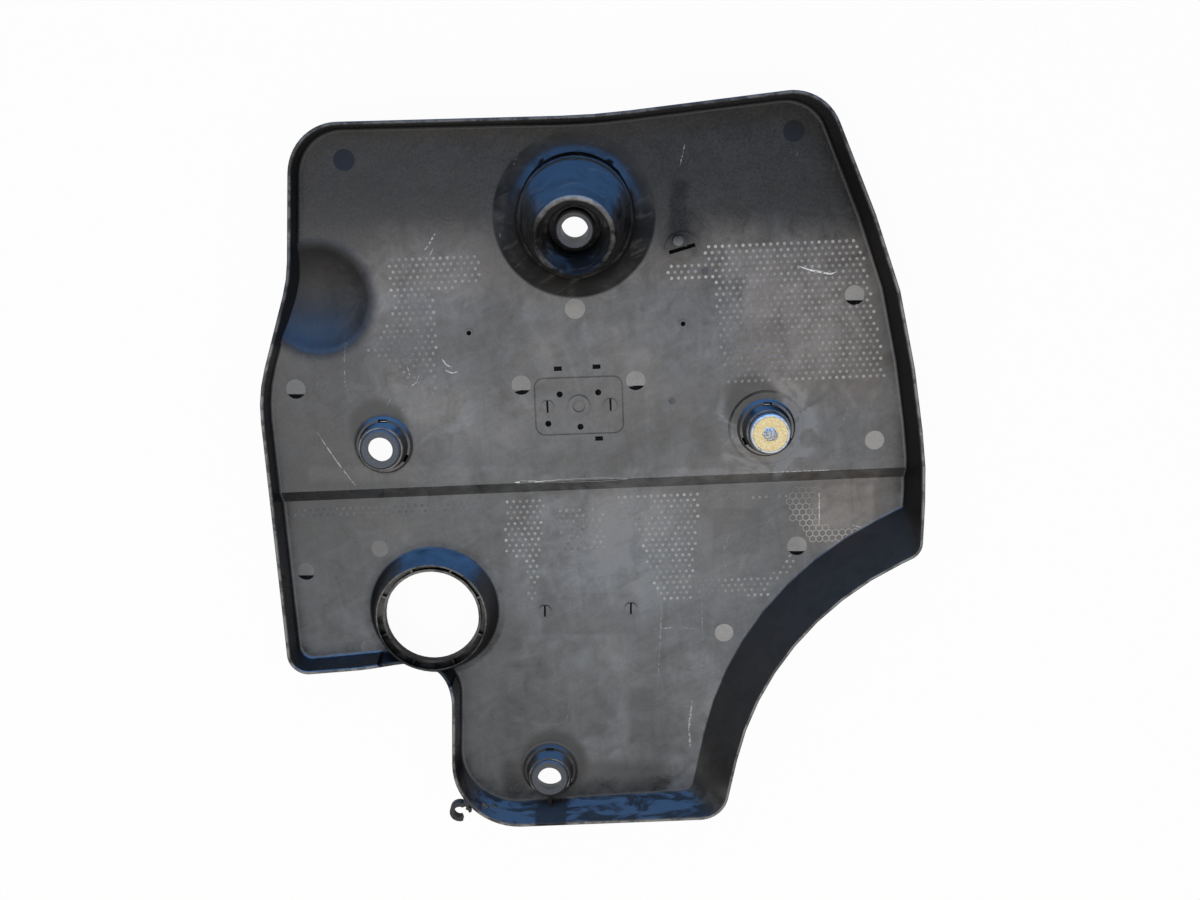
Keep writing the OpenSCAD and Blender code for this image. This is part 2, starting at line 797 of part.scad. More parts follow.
bush_relief_r = 11.4;
module boss_bush(place, deck_z, h) {
    in_frame()
        at_boss(place, deck_z)
            translate([0, 0, boss_seat(h)])
                bush(bush_bore_r, bush_relief_r, bush_land, boss_neck_r - bush_gap,
                     boss_pocket_r - bush_gap, bush_head, boss_seat_t, boss_pocket_r - 0.5);
}

tower_head_r = 13.2;
module tower_bush() {
    color("#1b1b1c")
        in_frame()
            at_tower()
                translate([0, 0, tower_seat_h])
                    difference() {
                        bush(tower_bore_r - cut, tower_bore_r - cut, tower_seat_t, tower_neck_r - bush_gap,
                             tower_head_r, tower_bush_head, tower_seat_t, tower_head_r);
                        translate([0, 0, -bush_foot - bush_gap - cut])
                            cylinder(r = tower_bore_r, h = bush_foot + tower_seat_t + tower_bush_head + 3);
                    }
}

module left_bush() {
    color("#1b1b1c") boss_bush(left_boss, 0, left_boss_h);
}

module bottom_bush() {
    color("#1b1b1c") boss_bush(bottom_boss, -step_drop, bottom_boss_h);
}

// The right bush carries a sleeve in place of a plain bore
sleeve_wall = 3.4;
right_bush_rise = 1;
sleeve_neck_r = sleeve_r - sleeve_wall;
right_head_h = bush_head + right_bush_rise;
module right_bush() {
    color("#1b1b1c")
        in_frame()
            at_boss(right_boss, 0)
                translate([0, 0, boss_seat(right_boss_h)])
                    difference() {
                        bush(sleeve_neck_r - cut, sleeve_neck_r - cut, boss_seat_t, boss_neck_r - bush_gap,
                             boss_pocket_r - bush_gap, right_head_h, boss_seat_t, boss_pocket_r - 0.5);
                        translate([0, 0, -bush_foot - bush_gap - cut])
                            cylinder(r = sleeve_neck_r + bush_gap, h = bush_foot + boss_seat_t + right_head_h + 3);
                    }
}

right_seat_z = boss_seat(right_boss_h);
screw_gap = 0.2;
module screw_sleeve() {
    color("#c9cbcc")
        in_frame()
            at_boss(right_boss, right_seat_z)
                difference() {
                    rotate_extrude()
                        polygon([
                            [0, -bush_foot], [sleeve_neck_r, -bush_foot],
                            [sleeve_neck_r, boss_seat_t + right_head_h + bush_gap],
                            [sleeve_r, boss_seat_t + right_head_h + bush_gap],
                            [sleeve_r, sleeve_h - 0.6], [sleeve_r - 0.6, sleeve_h], [0, sleeve_h]
                        ]);
                    translate([0, 0, sleeve_h - washer_t])
                        cylinder(r = washer_r + screw_gap, h = washer_t + cut);
                    translate([0, 0, -bush_foot - cut])
                        cylinder(r = screw_r + screw_gap, h = sleeve_h + bush_foot + 2 * cut);
                }
}

module screw_washer() {
    color("#e0cc8c")
        in_frame()
            at_boss(right_boss, right_seat_z + sleeve_h - washer_t)
                difference() {
                    cylinder(r = washer_r, h = washer_t);
                    translate([0, 0, -cut])
                        cylinder(r = screw_r + screw_gap, h = washer_t + 2 * cut);
                }
}

screw_head_r = 7.6;
screw_head_h = 5;
screw_rise = 1.6;
module captive_screw() {
    low = -bush_foot - screw_head_h;
    color("#a9abad")
        in_frame()
            at_boss(right_boss, right_seat_z)
                rotate_extrude()
                    polygon([
                        [0, low], [screw_head_r - 0.6, low], [screw_head_r, low + 0.6],
                        [screw_head_r, -bush_foot - 0.05], [screw_r, -bush_foot - 0.05],
                        [screw_r, sleeve_h + screw_rise - 1], [screw_r - 0.8, sleeve_h + screw_rise],
                        [0, sleeve_h + screw_rise]
                    ]);
}

cover_shell();
tower_bush();
left_bush();
bottom_bush();
right_bush();
screw_sleeve();
screw_washer();
captive_screw();
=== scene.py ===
"""Worn moulded engine cover, seen from its inside: finishes, moulding marks, rubbed and scuffed plastic,
painted shade and highlights, and a plain studio.

Lengths are metres unless a name ends in _MM. Places on the cover are given in millimetres from the
same datum as its drawing, near the middle of the cover on the upper deck's inner face.
"""

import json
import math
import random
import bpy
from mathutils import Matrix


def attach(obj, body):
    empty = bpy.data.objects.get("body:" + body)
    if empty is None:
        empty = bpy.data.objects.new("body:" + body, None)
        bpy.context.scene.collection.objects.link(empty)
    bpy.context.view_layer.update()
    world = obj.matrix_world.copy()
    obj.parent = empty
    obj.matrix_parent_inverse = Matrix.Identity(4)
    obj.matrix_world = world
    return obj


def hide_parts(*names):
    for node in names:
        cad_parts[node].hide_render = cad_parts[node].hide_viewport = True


bl_info = {
    "name": "Engine Cover Dresser",
    "version": (1, 0, 0),
    "blender": (4, 5, 0),
    "location": "View3D > Sidebar > Engine cover",
    "description": "Dresses a moulded engine cover with worn plastic, rubber, plating and moulding marks",
    "category": "Object",
}

import bmesh
import bpy
from bpy.props import FloatProperty, FloatVectorProperty, IntProperty, PointerProperty
from bpy.types import Operator, Panel, PropertyGroup
from mathutils import Matrix, Vector, noise

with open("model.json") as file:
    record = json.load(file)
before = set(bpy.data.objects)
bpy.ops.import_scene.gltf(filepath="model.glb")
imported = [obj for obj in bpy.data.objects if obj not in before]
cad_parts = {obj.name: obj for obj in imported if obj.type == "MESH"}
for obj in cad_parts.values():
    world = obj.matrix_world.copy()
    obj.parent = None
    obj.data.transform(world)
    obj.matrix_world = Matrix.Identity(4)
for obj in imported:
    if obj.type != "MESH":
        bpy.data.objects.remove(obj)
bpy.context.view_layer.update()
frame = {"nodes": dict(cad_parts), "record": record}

MM = 0.001
MOUNTS = {mount["name"]: Vector(mount["pos_m"]) for mount in frame["record"]["mounts"]}
LEFT_FIXING_MM = Vector((-155, 4, 17.05))
DATUM = MOUNTS["left_fixing"] - LEFT_FIXING_MM * MM
BODY = "root"

STEP_Y_MM = -22
STEP_SLOPE = math.tan(math.radians(2.4))
STEP_RUN_MM = 8.5
STEP_DROP_MM = 7

TOWER_MM = Vector((-18, 166))
TOWER_TIP_MM = Vector((-17, 153))
TOWER_FOOT_Y_MM = 165
TOWER_LEAN = math.radians(12)
BOWL_MM = Vector((-199, 108))
COLLAR_MM = Vector((-123, -122.5))
BOTTOM_BOSS_MM = Vector((-38, -251))
HOOK_MM = Vector((-105.3, -273.6))
LEFT_BOSS_MM = Vector((-155, 4))
RIGHT_BOSS_MM = Vector((119, 16.5))
SCREW_END_MM = 26.6
MARK_MM = 7
# How far each form reaches from its middle
BOWL_REACH_MM = 38
TOWER_REACH_MM = 55.5
TOWER_TIP_REACH_MM = 32
TOWER_HOLLOW_REACH_MM = 23
COLLAR_REACH_MM = 51
BOSS_REACH_MM = 25
HOOK_REACH_MM = 13
WHITE = (1, 1, 1, 1)


def place(x, y, z):
    """A point of the cover's datum, in metres in the frame."""
    return DATUM + Vector((x, y, z)) * MM


def deck_level(x, y):
    """Height in millimetres of the stepped deck's inner face."""
    below = STEP_Y_MM + STEP_SLOPE * x - y
    return -STEP_DROP_MM * min(1.0, max(0.0, below / STEP_RUN_MM))


def on_deck(x, y, rise=0.0):
    """A point on the deck, lifted by rise millimetres."""
    return place(x, y, deck_level(x, y) + rise)


def number(name, description, value, unit="NONE"):
    """A property for a number, in metres where its unit is LENGTH and in radians where it is ROTATION."""
    return FloatProperty(name=name, description=description, default=value, unit=unit)


def swatch(name, description, value):
    """A property for a colour in linear red, green and blue."""
    return FloatVectorProperty(
        name=name, description=description, default=value, size=3, subtype="COLOR", min=0, max=1)


class CoverSizes(PropertyGroup):
    """Sizes of the moulding marks and of the scuffs and glints."""

    dot_pitch: number("Dot pitch", "Distance between the dots of a field", 4.8 * MM, "LENGTH")
    dot_radius: number("Dot radius", "Radius of one dot at the deck", 1.5 * MM, "LENGTH")
    dot_height: number("Dot height", "Height of one dot above the deck", 0.22 * MM, "LENGTH")
    net_wall: number("Net wall", "Width of the walls between the net's cells", 1.0 * MM, "LENGTH")
    mark_radius: number("Ejector mark radius", "Radius of an ejector's witness mark", MARK_MM * MM, "LENGTH")
    mark_height: number("Ejector mark height", "Height of an ejector's witness mark", 0.12 * MM, "LENGTH")
    scuff_and_glint_lift: number("Scuff lift", "How far a scuff's burr lies above the deck", 0.06 * MM, "LENGTH")
    seed: IntProperty(name="Seed", description="Seed of the irregular marks", default=7)


class CoverFinish(PropertyGroup):
    """Colours of the cover's materials."""

    plastic: swatch("Plastic", "Colour of the clean black plastic", (0.0065, 0.0065, 0.007))
    dust: swatch("Dust", "Colour of the grey film on the deck", (0.212, 0.209, 0.204))
    # Bluish film low on the deck: dust colour with a painted blue reflection of the sky
    dust_with_sky_reflection: swatch("Cool dust", "Colour of the bluish film low on the deck", (0.192, 0.2, 0.208))
    warm_dust: swatch("Warm dust", "Colour of the brownish film in patches", (0.255, 0.222, 0.19))
    # Pale grey of rubbed plastic, also the colour of the painted highlights on the dots and the net
    worn: swatch("Worn plastic", "Colour of plastic rubbed to a pale grey", (0.5, 0.48, 0.45))
    rubber: swatch("Rubber", "Colour of the bushes", (0.05, 0.052, 0.055))
    plating: swatch("Plating", "Pale yellow of the passivated washer", (0.84, 0.66, 0.3))
    steel: swatch("Steel", "Colour of the worn zinc on the screw", (0.46, 0.43, 0.38))


class CoverStudio(PropertyGroup):
    """Camera and light."""

    camera_reach: number("Camera distance", "Distance from the camera to the datum", 0.914, "LENGTH")
    camera_tilt: number(
        "Camera tilt", "Angle of the view away from straight down", math.radians(12), "ROTATION")
    lens: number("Lens", "Focal length in millimetres", 38.1)
    key_power: number("Key power", "Power of the overhead lamp", 12.0, "POWER")
    sky_power: number("Sky power", "Power of the cool side lamp", 5.0, "POWER")
    sky_glow: number("Sky glow", "Strength of the blue backdrop that the gloss shows", 7.5)
    room_light: number("Room light", "Strength of the even light", 0.45)


class Value:
    """A shader value. Python's operators on it add Math nodes."""

    def __init__(self, paint, socket):
        self.paint = paint
        self.socket = socket

    def math(self, operation, *others):
        return self.paint.out("ShaderNodeMath", {"operation": operation}, [self, *others])

    def __add__(self, other):
        return self.math("ADD", other)

    __radd__ = __add__

    def __mul__(self, other):
        return self.math("MULTIPLY", other)

    __rmul__ = __mul__

    def __sub__(self, other):
        return self.math("SUBTRACT", other)

    def __rsub__(self, other):
        return self.paint.out("ShaderNodeMath", {"operation": "SUBTRACT"}, [other, self])

    def __pow__(self, other):
        return self.math("POWER", other)

    def __abs__(self):
        return self.math("ABSOLUTE")

    def least(self, other):
        """The smaller of the two."""
        return self.math("MINIMUM", other)

    def most(self, other):
        """The larger of the two."""
        return self.math("MAXIMUM", other)

    def ramp(self, low, high):
        """0 where the value is at low, 1 where it is at high, smooth between. low may be the larger."""
        return self.paint.out(
            "ShaderNodeMapRange", {"interpolation_type": "SMOOTHSTEP", "clamp": True},
            {"Value": self, "From Min": low, "From Max": high, "To Min": 0.0, "To Max": 1.0})

    def within(self, middle, reach, soft):
        """1 where the value lies within reach of middle, fading to 0 over soft."""
        return abs(self - middle).ramp(reach + soft, reach)


class Paint:
    """A material, or the world, and the one way that its nodes are added."""

    def __init__(self, name, kept_in="materials", output="ShaderNodeOutputMaterial"):
        self.owner = getattr(bpy.data, kept_in).new(name)
        self.owner.use_nodes = True
        self.nodes = self.owner.node_tree.nodes
        self.links = self.owner.node_tree.links
        self.nodes.clear()
        self.surface = self.nodes.new(output)
        coordinates = self.nodes.new("ShaderNodeTexCoord")
        self.object_point = coordinates.outputs["Object"]
        self.normal = coordinates.outputs["Normal"]

    def node(self, kind, settings=None, inputs=()):
        made = self.nodes.new(kind)
        for key, setting in (settings or {}).items():
            setattr(made, key, setting)
        pairs = inputs.items() if isinstance(inputs, dict) else enumerate(inputs)
        for key, given in pairs:
            given = given.socket if isinstance(given, Value) else given
            if isinstance(given, bpy.types.NodeSocket):
                self.links.new(given, made.inputs[key])
            else:
                made.inputs[key].default_value = given
        return made

    def out(self, kind, settings, inputs):
        return Value(self, self.node(kind, settings, inputs).outputs[0])

    def point_mm(self):
        """The datum's x, y and z in millimetres."""
        moved = self.node(
            "ShaderNodeVectorMath", {"operation": "SUBTRACT"}, [self.object_point, tuple(DATUM)])
        scaled = self.node(
            "ShaderNodeVectorMath", {"operation": "SCALE"}, {0: moved.outputs[0], "Scale": 1 / MM})
        return self.split(scaled.outputs[0])

    def facing(self):
        """The surface's normal as three values."""
        return self.split(self.normal)

    def split(self, vector):
        """A vector socket's three values."""
        made = self.node("ShaderNodeSeparateXYZ", {}, [vector])
        return [Value(self, made.outputs[k]) for k in range(3)]

    def wear(self):
        """The mesh's attribute of how pale each mark is, from rubbing and from painted highlight."""
        return Value(self, self.node("ShaderNodeAttribute", {"attribute_name": "wear"}).outputs["Fac"])

    def grain(self, size_mm, detail=4, rough=0.5, stretch=(1, 1, 1), turn=0.0, distortion=0.0):
        """Noise from 0 to 1 with features of about size_mm, stretched along its own axes."""
        mapping = self.node(
            "ShaderNodeMapping", {"vector_type": "TEXTURE"},
            {"Vector": self.object_point, "Rotation": (0, 0, turn), "Scale": stretch})
        return self.out(
            "ShaderNodeTexNoise", {},
            {"Vector": mapping.outputs[0], "Scale": 1 / (size_mm * MM), "Detail": detail,
             "Roughness": rough, "Distortion": distortion})

    def mix(self, factor, first, second):
        """A colour between first and second, each a socket or red, green and blue."""
        colours = [
            given if isinstance(given, bpy.types.NodeSocket) else (*given, 1.0) for given in (first, second)]
        made = self.node(
            "ShaderNodeMix", {"data_type": "RGBA", "clamp_factor": True},
            {0: factor, 6: colours[0], 7: colours[1]})
        return made.outputs[2]

    def bump(self, height, depth, strength=1.0):
        """The normal that a height from 0 to 1 gives over the depth in metres."""
        made = self.node("ShaderNodeBump", {}, {"Height": height, "Distance": depth, "Strength": strength})
        return made.outputs[0]

    def shader(self, **sockets):
        """A Principled shader whose sockets are named in lower case."""
        return self.node("ShaderNodeBsdfPrincipled", {}, {
            name.replace("_", " ").title().replace("Ior", "IOR"): given for name, given in sockets.items()})

    def close(self, shader):
        """Shows the shader and returns the material or the world."""
        self.links.new(shader.outputs[0], self.surface.inputs["Surface"])
        return self.owner

    def finish(self, **sockets):
        """Closes the material with one Principled shader."""
        return self.close(self.shader(**sockets))

    def finish_between(self, factor, first, second):
        """Closes the material with a mix of two shaders."""
        return self.close(
            self.node("ShaderNodeMixShader", {}, [factor, first.outputs[0], second.outputs[0]]))

    def finish_with_white(self, strength, lit, white_kind):
        """Closes with a lit shader, mixed with plain white where camera, gloss and glass see it directly."""
        path = self.node("ShaderNodeLightPath")
        seen = Value(self, path.outputs["Is Camera Ray"])
        for ray in ("Is Glossy Ray", "Is Transmission Ray"):
            seen = seen.most(Value(self, path.outputs[ray]))
        white = self.node(white_kind, {}, {"Color": WHITE, "Strength": 1.0})
        return self.finish_between(seen * strength, lit, white)


# Stains on the deck, and at (54, 172) a painted shade, the dark strip above the clip: middle, half size,
# softness, and how much paler or darker the grey film is there
STAINS_AND_SHADE = (
    ((-222, 40), (30, 90), 44, -0.14), ((-195, -75), (40, 50), 40, -0.14), ((-88, -195), (16, 60), 26, -0.2),
    ((8, -80), (30, 22), 48, 0.3), ((140, 104), (40, 34), 34, 0.25), ((-118, 118), (24, 18), 30, 0.14),
    ((178, -44), (20, 14), 5, 0.24), ((164, 16), (40, 24), 16, 0.2), ((-121, 30), (26, 14), 18, 0.16),
    # The dark strip at (54, 172) on this line is painted shade above the clip
    ((100.5, -62.5), (16, 16), 2.5, -0.12), ((-8, -126), (34, 15), 3, -0.14), ((54, 172), (7, 24), 10, -0.3),
    ((-64, 18), (34, 14), 20, 0.12), ((-10, -260), (60, 10), 10, -0.3), ((60, -212), (14, 26), 10, -0.16),
    ((32, -208), (7, 20), 6, -0.22), ((-34, -206), (34, 12), 12, -0.12), ((20, 84), (60, 20), 30, 0.12),
    ((76, -212), (12, 44), 18, 0.12), ((-150, 186), (50, 40), 40, -0.02), ((110, -20), (90, 3), 5, 0.2),
    ((-118, -18), (90, 3), 5, 0.12),
)
# Warm brownish stains: middle and half size
WARM_STAINS = (((150, 96), (40, 46)), ((176, -46), (24, 18)), ((70, 148), (34, 14)), ((-130, 176), (90, 50)))
# Places beside the bosses where the film is thinned, as painted dark reflections of the bosses in the deck:
# middle, reach and softness
BOSS_REFLECTIONS = (
    (RIGHT_BOSS_MM + Vector((-10, 18)), 16, 9), (LEFT_BOSS_MM + Vector((-4, 12)), 17, 8),
    (BOTTOM_BOSS_MM + Vector((3, 6)), 21, 9),
)
# Painted shade: a dark strip above the clip, and a painted dark reflection of the bottom boss in the bottom
# wall: middle, how far the noise shifts them, half size, softness and how black they are
SHADE_STRIPS = (((54, 170), 0.5, (2, 16), 13, 0.8), ((-37, -272), 0.2, (10, 12), 5, 0.9))
BUMP_DEPTH_MM = 0.35
# Base colour of the dark matt copy of the plastic that paints shade
SHADE_BLACK = (0.008, 0.0075, 0.007)


class Surface:
    """A shaded point of the cover: its place, the way it faces, the forms it lies on, and noise."""

    def __init__(self, paint):
        self.x, self.y, self.z = paint.point_mm()
        self.across, self.along, self.up = paint.facing()
        below = (self.x * STEP_SLOPE + STEP_Y_MM - self.y) * (1 / STEP_RUN_MM)
        self.deck = below.most(0.0).least(1.0) * -STEP_DROP_MM
        self.steep = 1 - self.up.ramp(0.5, 0.97)
        self.bowl = self.round_patch(BOWL_MM, BOWL_REACH_MM, 8)
        self.tower = self.round_patch(TOWER_MM, TOWER_REACH_MM, 2.5)
        # Painted shade: faces below the deck lose their film and take the dark matt copy of the plastic
        self.recess_shade = (self.deck - self.z).ramp(0.75, 1.15) * (1 - self.bowl)
        self.slope = (self.x - self.y).ramp(130, 190) * self.y.ramp(-36, -54) * self.steep
        self.cloud = paint.grain(70, detail=5, rough=0.6)
        self.smudge = paint.grain(20, detail=5, rough=0.65, distortion=1.0)
        self.brushed = paint.grain(13, rough=0.6, stretch=(1, 4, 1), turn=0.12, distortion=0.9)
        self.wiped = paint.grain(10, rough=0.6, stretch=(4, 1, 1), turn=0.5, distortion=1.1)
        self.speck = paint.grain(1.5, detail=2, rough=0.6)
        self.rubbed = paint.grain(9, rough=0.6).ramp(0.4, 0.58)
        self.patch = paint.grain(14, rough=0.6, stretch=(2, 1, 1), distortion=0.8)
        self.wobble = (self.smudge - 0.5) * 40

    def round_patch(self, middle, reach, soft):
        """1 within reach of middle in the drawing's plane, 0 past reach and soft."""
        dx = self.x - middle[0]
        dy = self.y - middle[1]
        return ((dx * dx + dy * dy) ** 0.5).ramp(reach + soft, reach)

    def box_patch(self, middle, half, soft, shift=(0, 0)):
        """1 inside a rounded box in the drawing's plane, 0 past its half size and soft."""
        dx = self.x + self.wobble * shift[0] - middle[0]
        dy = self.y + self.wobble * shift[1] - middle[1]
        return dx.within(0.0, half[0], soft) * dy.within(0.0, half[1], soft)

    def film(self):
        """How thick the grey film lies: thin at the top, thick low down, changed by the stains, and thinned
        for painted shade: in a dark strip, in recesses and in dark reflections beside the bosses.
        """
        film = 0.015 + self.y.ramp(178, 112) * 0.37 + self.y.ramp(0, -110) * 0.12
        for middle, half, soft, change in STAINS_AND_SHADE:
            shift = min(1.0, soft / 30)
            film = film + self.box_patch(middle, half, soft, (shift, -shift)) * change
        tint = (self.cloud - 0.5) * 1.5 + (self.smudge - 0.5) * 2.0
        tint = tint + (self.brushed - 0.5) * 1.0 + (self.wiped - 0.5) * 0.9
        film = film.most(0.03) * (1 + tint) + (self.speck - 0.5) * 0.26 + tint * 0.02
        halo = self.round_patch(RIGHT_BOSS_MM, 30, 12)
        film = film + halo * (0.2 + self.smudge.ramp(0.42, 0.56) * 0.6)
        # Thinner film on the tower and the bowl, and painted dark reflections beside the bosses
        clean = self.tower.most(self.bowl * 0.75)
        for spot in BOSS_REFLECTIONS:
            clean = clean.most(self.round_patch(*spot))
        film = film * (1 - clean * 0.85) * (1 - self.tower * 0.6)
        streak = self.wiped.ramp(0.56, 0.68) * self.round_patch(TOWER_MM, 53, 3) * 0.12
        flat = self.up.ramp(0.5, 0.97) * (self.z - self.deck).ramp(9.0, 4.0)
        on_slope = self.slope * (0.05 + self.smudge * 0.12)
        return (film * flat + streak + on_slope).most(0.0) * (1 - self.recess_shade)

    def dust(self, paint, finish):
        """The film's colour: warm in patches, and low on the deck mixed with a painted blue reflection of the
        sky.
        """
        warm = (self.cloud - 0.5).ramp(0.0, 0.12) * 0.3
        for middle, half in WARM_STAINS:
            warm = warm.most(self.box_patch(middle, half, 26, (1, 1)) * 0.8)
        # Painted reflection: the sky's blue mixed into the film low on the deck
        cool = (1 - warm) * self.y.ramp(40, -120) * (1 - self.slope.ramp(0.0, 0.3))
        return paint.mix(cool, paint.mix(warm, finish.dust, finish.warm_dust), finish.dust_with_sky_reflection)

    def tip(self):
        """1 on the flat tips of the tower, the bosses and the rim."""
        inside_tower = self.round_patch(TOWER_TIP_MM, TOWER_HOLLOW_REACH_MM, 2) * self.z.ramp(51, 49)
        hook = self.round_patch(HOOK_MM, HOOK_REACH_MM, 3)
        raised = (self.z - self.deck).ramp(8.6, 9.8)
        return self.up.ramp(0.55, 0.95) * raised * (1 - inside_tower) * (1 - hook)

    def tower_edge(self):
        """1 on the outer edge of the leaning tower's tip."""
        height = self.z * math.cos(TOWER_LEAN) - (self.y - TOWER_FOOT_Y_MM) * math.sin(TOWER_LEAN)
        return height.ramp(53.0, 54.4) * self.round_patch(TOWER_TIP_MM, TOWER_TIP_REACH_MM, 2)

    def lean(self):
        """How far the bump tilts the shading of upright faces towards the blue backdrop."""
        lean = self.round_patch(COLLAR_MM, COLLAR_REACH_MM, 3) * 0.55
        lean = lean.most(self.round_patch(TOWER_MM, 56, 4) * self.z.ramp(5, 13) * 0.8)
        lean = lean.most(self.y.ramp(-205, -262) * 0.9)
        for boss in (LEFT_BOSS_MM, RIGHT_BOSS_MM, BOTTOM_BOSS_MM):
            lean = lean.most(self.round_patch(boss, BOSS_REACH_MM, 3) * 0.7)
        return lean

    def shade_share(self, tip):
        """How much of the surface takes the dark matt copy of the plastic, as painted shade: in recesses, on
        the lower sides of the tower and the collar, on the step's face, the bottom wall's foot and the right
        wall, on faces turned away from the sky, on the upper slope and in dark strips; also on the bowl and
        along the top.
        """
        tower_low = (self.y - TOWER_MM.y).ramp(24, -16).most((self.x - TOWER_MM.x).ramp(-24, -46) * 0.7)
        bottom_foot = self.y.ramp(-245, -262) * self.steep
        collar_side = self.round_patch(COLLAR_MM, COLLAR_REACH_MM, 3)
        collar_low = (self.y - COLLAR_MM.y).ramp(10, -25)
        step_face = (self.deck - self.z).ramp(0.12, 0.4) * (1 - self.bowl) * self.y.ramp(-8, 0)
        right_wall = (self.across * -1).ramp(0.7, 0.95) * self.x.ramp(140, 170) * (1 - tip)
        shares = [
            self.tower * (0.42 + tower_low * 0.56 + (self.patch - 0.5) * 1.3),
            self.bowl * 0.45,
            step_face * 0.75,
            self.y.ramp(130, 185) * 0.45,
            bottom_foot * (0.42 + self.patch.ramp(0.44, 0.6) * 0.5),
            collar_side * (0.32 + collar_low * 0.5 + (self.patch - 0.5) * 0.9),
            right_wall,
            self.along.ramp(-0.7, -0.95) * 0.4,
            self.slope.ramp(0.0, 0.3) * self.y.ramp(-262, -205) * 0.97,
        ]
        for middle, shift, half, soft, black in SHADE_STRIPS:
            shares.append(self.box_patch(middle, half, soft, (shift, 0)) * black)
        shade_share = self.recess_shade
        for share in shares:
            shade_share = shade_share.most(share)
        return shade_share


def worn_plastic(finish):
    """Black satin moulding with a grey film on the deck, stains, and pale rubbed tips and rim, mixed with a
    dark matt copy of itself that paints shade.
    """
    paint = Paint("worn_plastic")
    at = Surface(paint)
    film = at.film()
    dust = at.dust(paint, finish)
    tip = at.tip()
    rub = tip * (0.12 + 0.88 * at.rubbed)
    pale = (rub * 0.4).most(at.tower_edge() * (0.45 + at.rubbed * 0.5))
    colour = paint.mix(pale, paint.mix(film, finish.plastic, dust), finish.worn)
    roughness = 0.27 + film * 0.24 + (at.smudge - 0.5) * 0.2 + rub * 0.15 + at.bowl * 0.2
    skin = paint.grain(1.1, detail=2) * 0.05 + paint.grain(30, detail=2) * 1.3
    tilted = skin + (at.deck - at.z) * at.lean() * (1 / BUMP_DEPTH_MM)
    gloss = paint.shader(
        base_color=colour, roughness=roughness, specular_ior_level=0.36,
        normal=paint.bump(tilted, BUMP_DEPTH_MM * MM))
    # The dark matt copy of the plastic, which paints shade
    matt = paint.shader(
        base_color=paint.mix(film * 1.15, SHADE_BLACK, dust), roughness=0.5, specular_ior_level=0.06,
        normal=paint.bump(skin, BUMP_DEPTH_MM * MM))
    return paint.finish_between(at.shade_share(tip), gloss, matt)


def marked_plastic(finish):
    """The same plastic on dots, net and ejector marks, paler as the mesh's attribute says: rubbed plastic and
    painted highlights.
    """
    paint = Paint("marked_plastic")
    wear = paint.wear()
    fleck = paint.grain(1.6, detail=2)
    cloud = paint.grain(18, detail=3)
    # Pale tops: rubbed plastic and painted highlights
    pale = (wear * (0.85 + fleck * 1.1)).least(1.0)
    kept = (0.35 + cloud.ramp(0.4, 0.6) * 0.35) * (wear * 2 + 1).least(1.0).most(0.0)
    ground = paint.mix(kept, finish.plastic, finish.dust)
    colour = paint.mix(pale, ground, finish.worn)
    return paint.finish(
        base_color=colour, roughness=0.55 + fleck * 0.16, specular_ior_level=0.2,
        normal=paint.bump(fleck, 0.05 * MM, 0.5))


def bush_rubber(finish):
    """Moulded rubber with a grey bloom and rubbed edges."""
    paint = Paint("bush_rubber")
    up = paint.facing()[2]
    bloom = paint.grain(5)
    speck = paint.grain(0.8, detail=2)
    colour = paint.mix(up.ramp(0.5, 1.0) * (0.35 + bloom * 0.6), finish.plastic, finish.rubber)
    colour = paint.mix((speck - 0.62).ramp(0.0, 0.1) * 0.5, colour, finish.dust)
    return paint.finish(
        base_color=colour, roughness=0.48 + bloom * 0.18,
        normal=paint.bump(speck, 0.06 * MM, 0.6))


def sleeve_metal(finish):
    """Dull turned light metal with dark stains."""
    paint = Paint("sleeve_metal")
    stain = paint.grain(3, distortion=1.0)
    fine = paint.grain(0.5, detail=2, stretch=(4, 1, 1))
    colour = paint.mix(stain.ramp(0.5, 0.72), (0.34, 0.34, 0.33), (0.12, 0.115, 0.1))
    return paint.finish(
        base_color=colour, roughness=0.36 + stain * 0.25, metallic=0.85,
        normal=paint.bump(fine, 0.04 * MM, 0.5))


def washer_plating(finish):
    """Pale yellow passivated plating, mottled and flaking."""
    paint = Paint("washer_plating")
    mottle = paint.grain(1.7, rough=0.7, distortion=0.8)
    flake = paint.grain(2.6, detail=5, rough=0.75, distortion=1.5)
    pale = mottle.ramp(0.44, 0.62)
    colour = paint.mix(pale, finish.plating, (0.98, 0.86, 0.58))
    bare = flake.ramp(0.6, 0.68)
    colour = paint.mix(bare, colour, (0.34, 0.25, 0.13))
    return paint.finish(
        base_color=colour, roughness=0.6 + mottle * 0.2, specular_ior_level=0.1,
        normal=paint.bump(mottle + bare * -0.5, 0.18 * MM, 0.8))


def screw_steel(finish):
    """Worn zinc with dark corrosion."""
    paint = Paint("screw_steel")
    pit = paint.grain(1.1, rough=0.7)
    colour = paint.mix(pit.ramp(0.46, 0.6), finish.steel, (0.1, 0.095, 0.09))
    return paint.finish(
        base_color=colour, roughness=0.45 + pit * 0.35, metallic=0.4,
        normal=paint.bump(pit, 0.15 * MM, 0.8))


def packed_dirt(finish):
    """Black without gloss at the bottom of slots and holes: painted shade where they look dark."""
    paint = Paint("packed_dirt")
    tone = paint.grain(2, detail=3)
    colour = paint.mix(tone.ramp(0.4, 0.65), (0.004, 0.004, 0.004), (0.012, 0.012, 0.013))
    return paint.finish(base_color=colour, roughness=0.9, specular_ior_level=0.04)


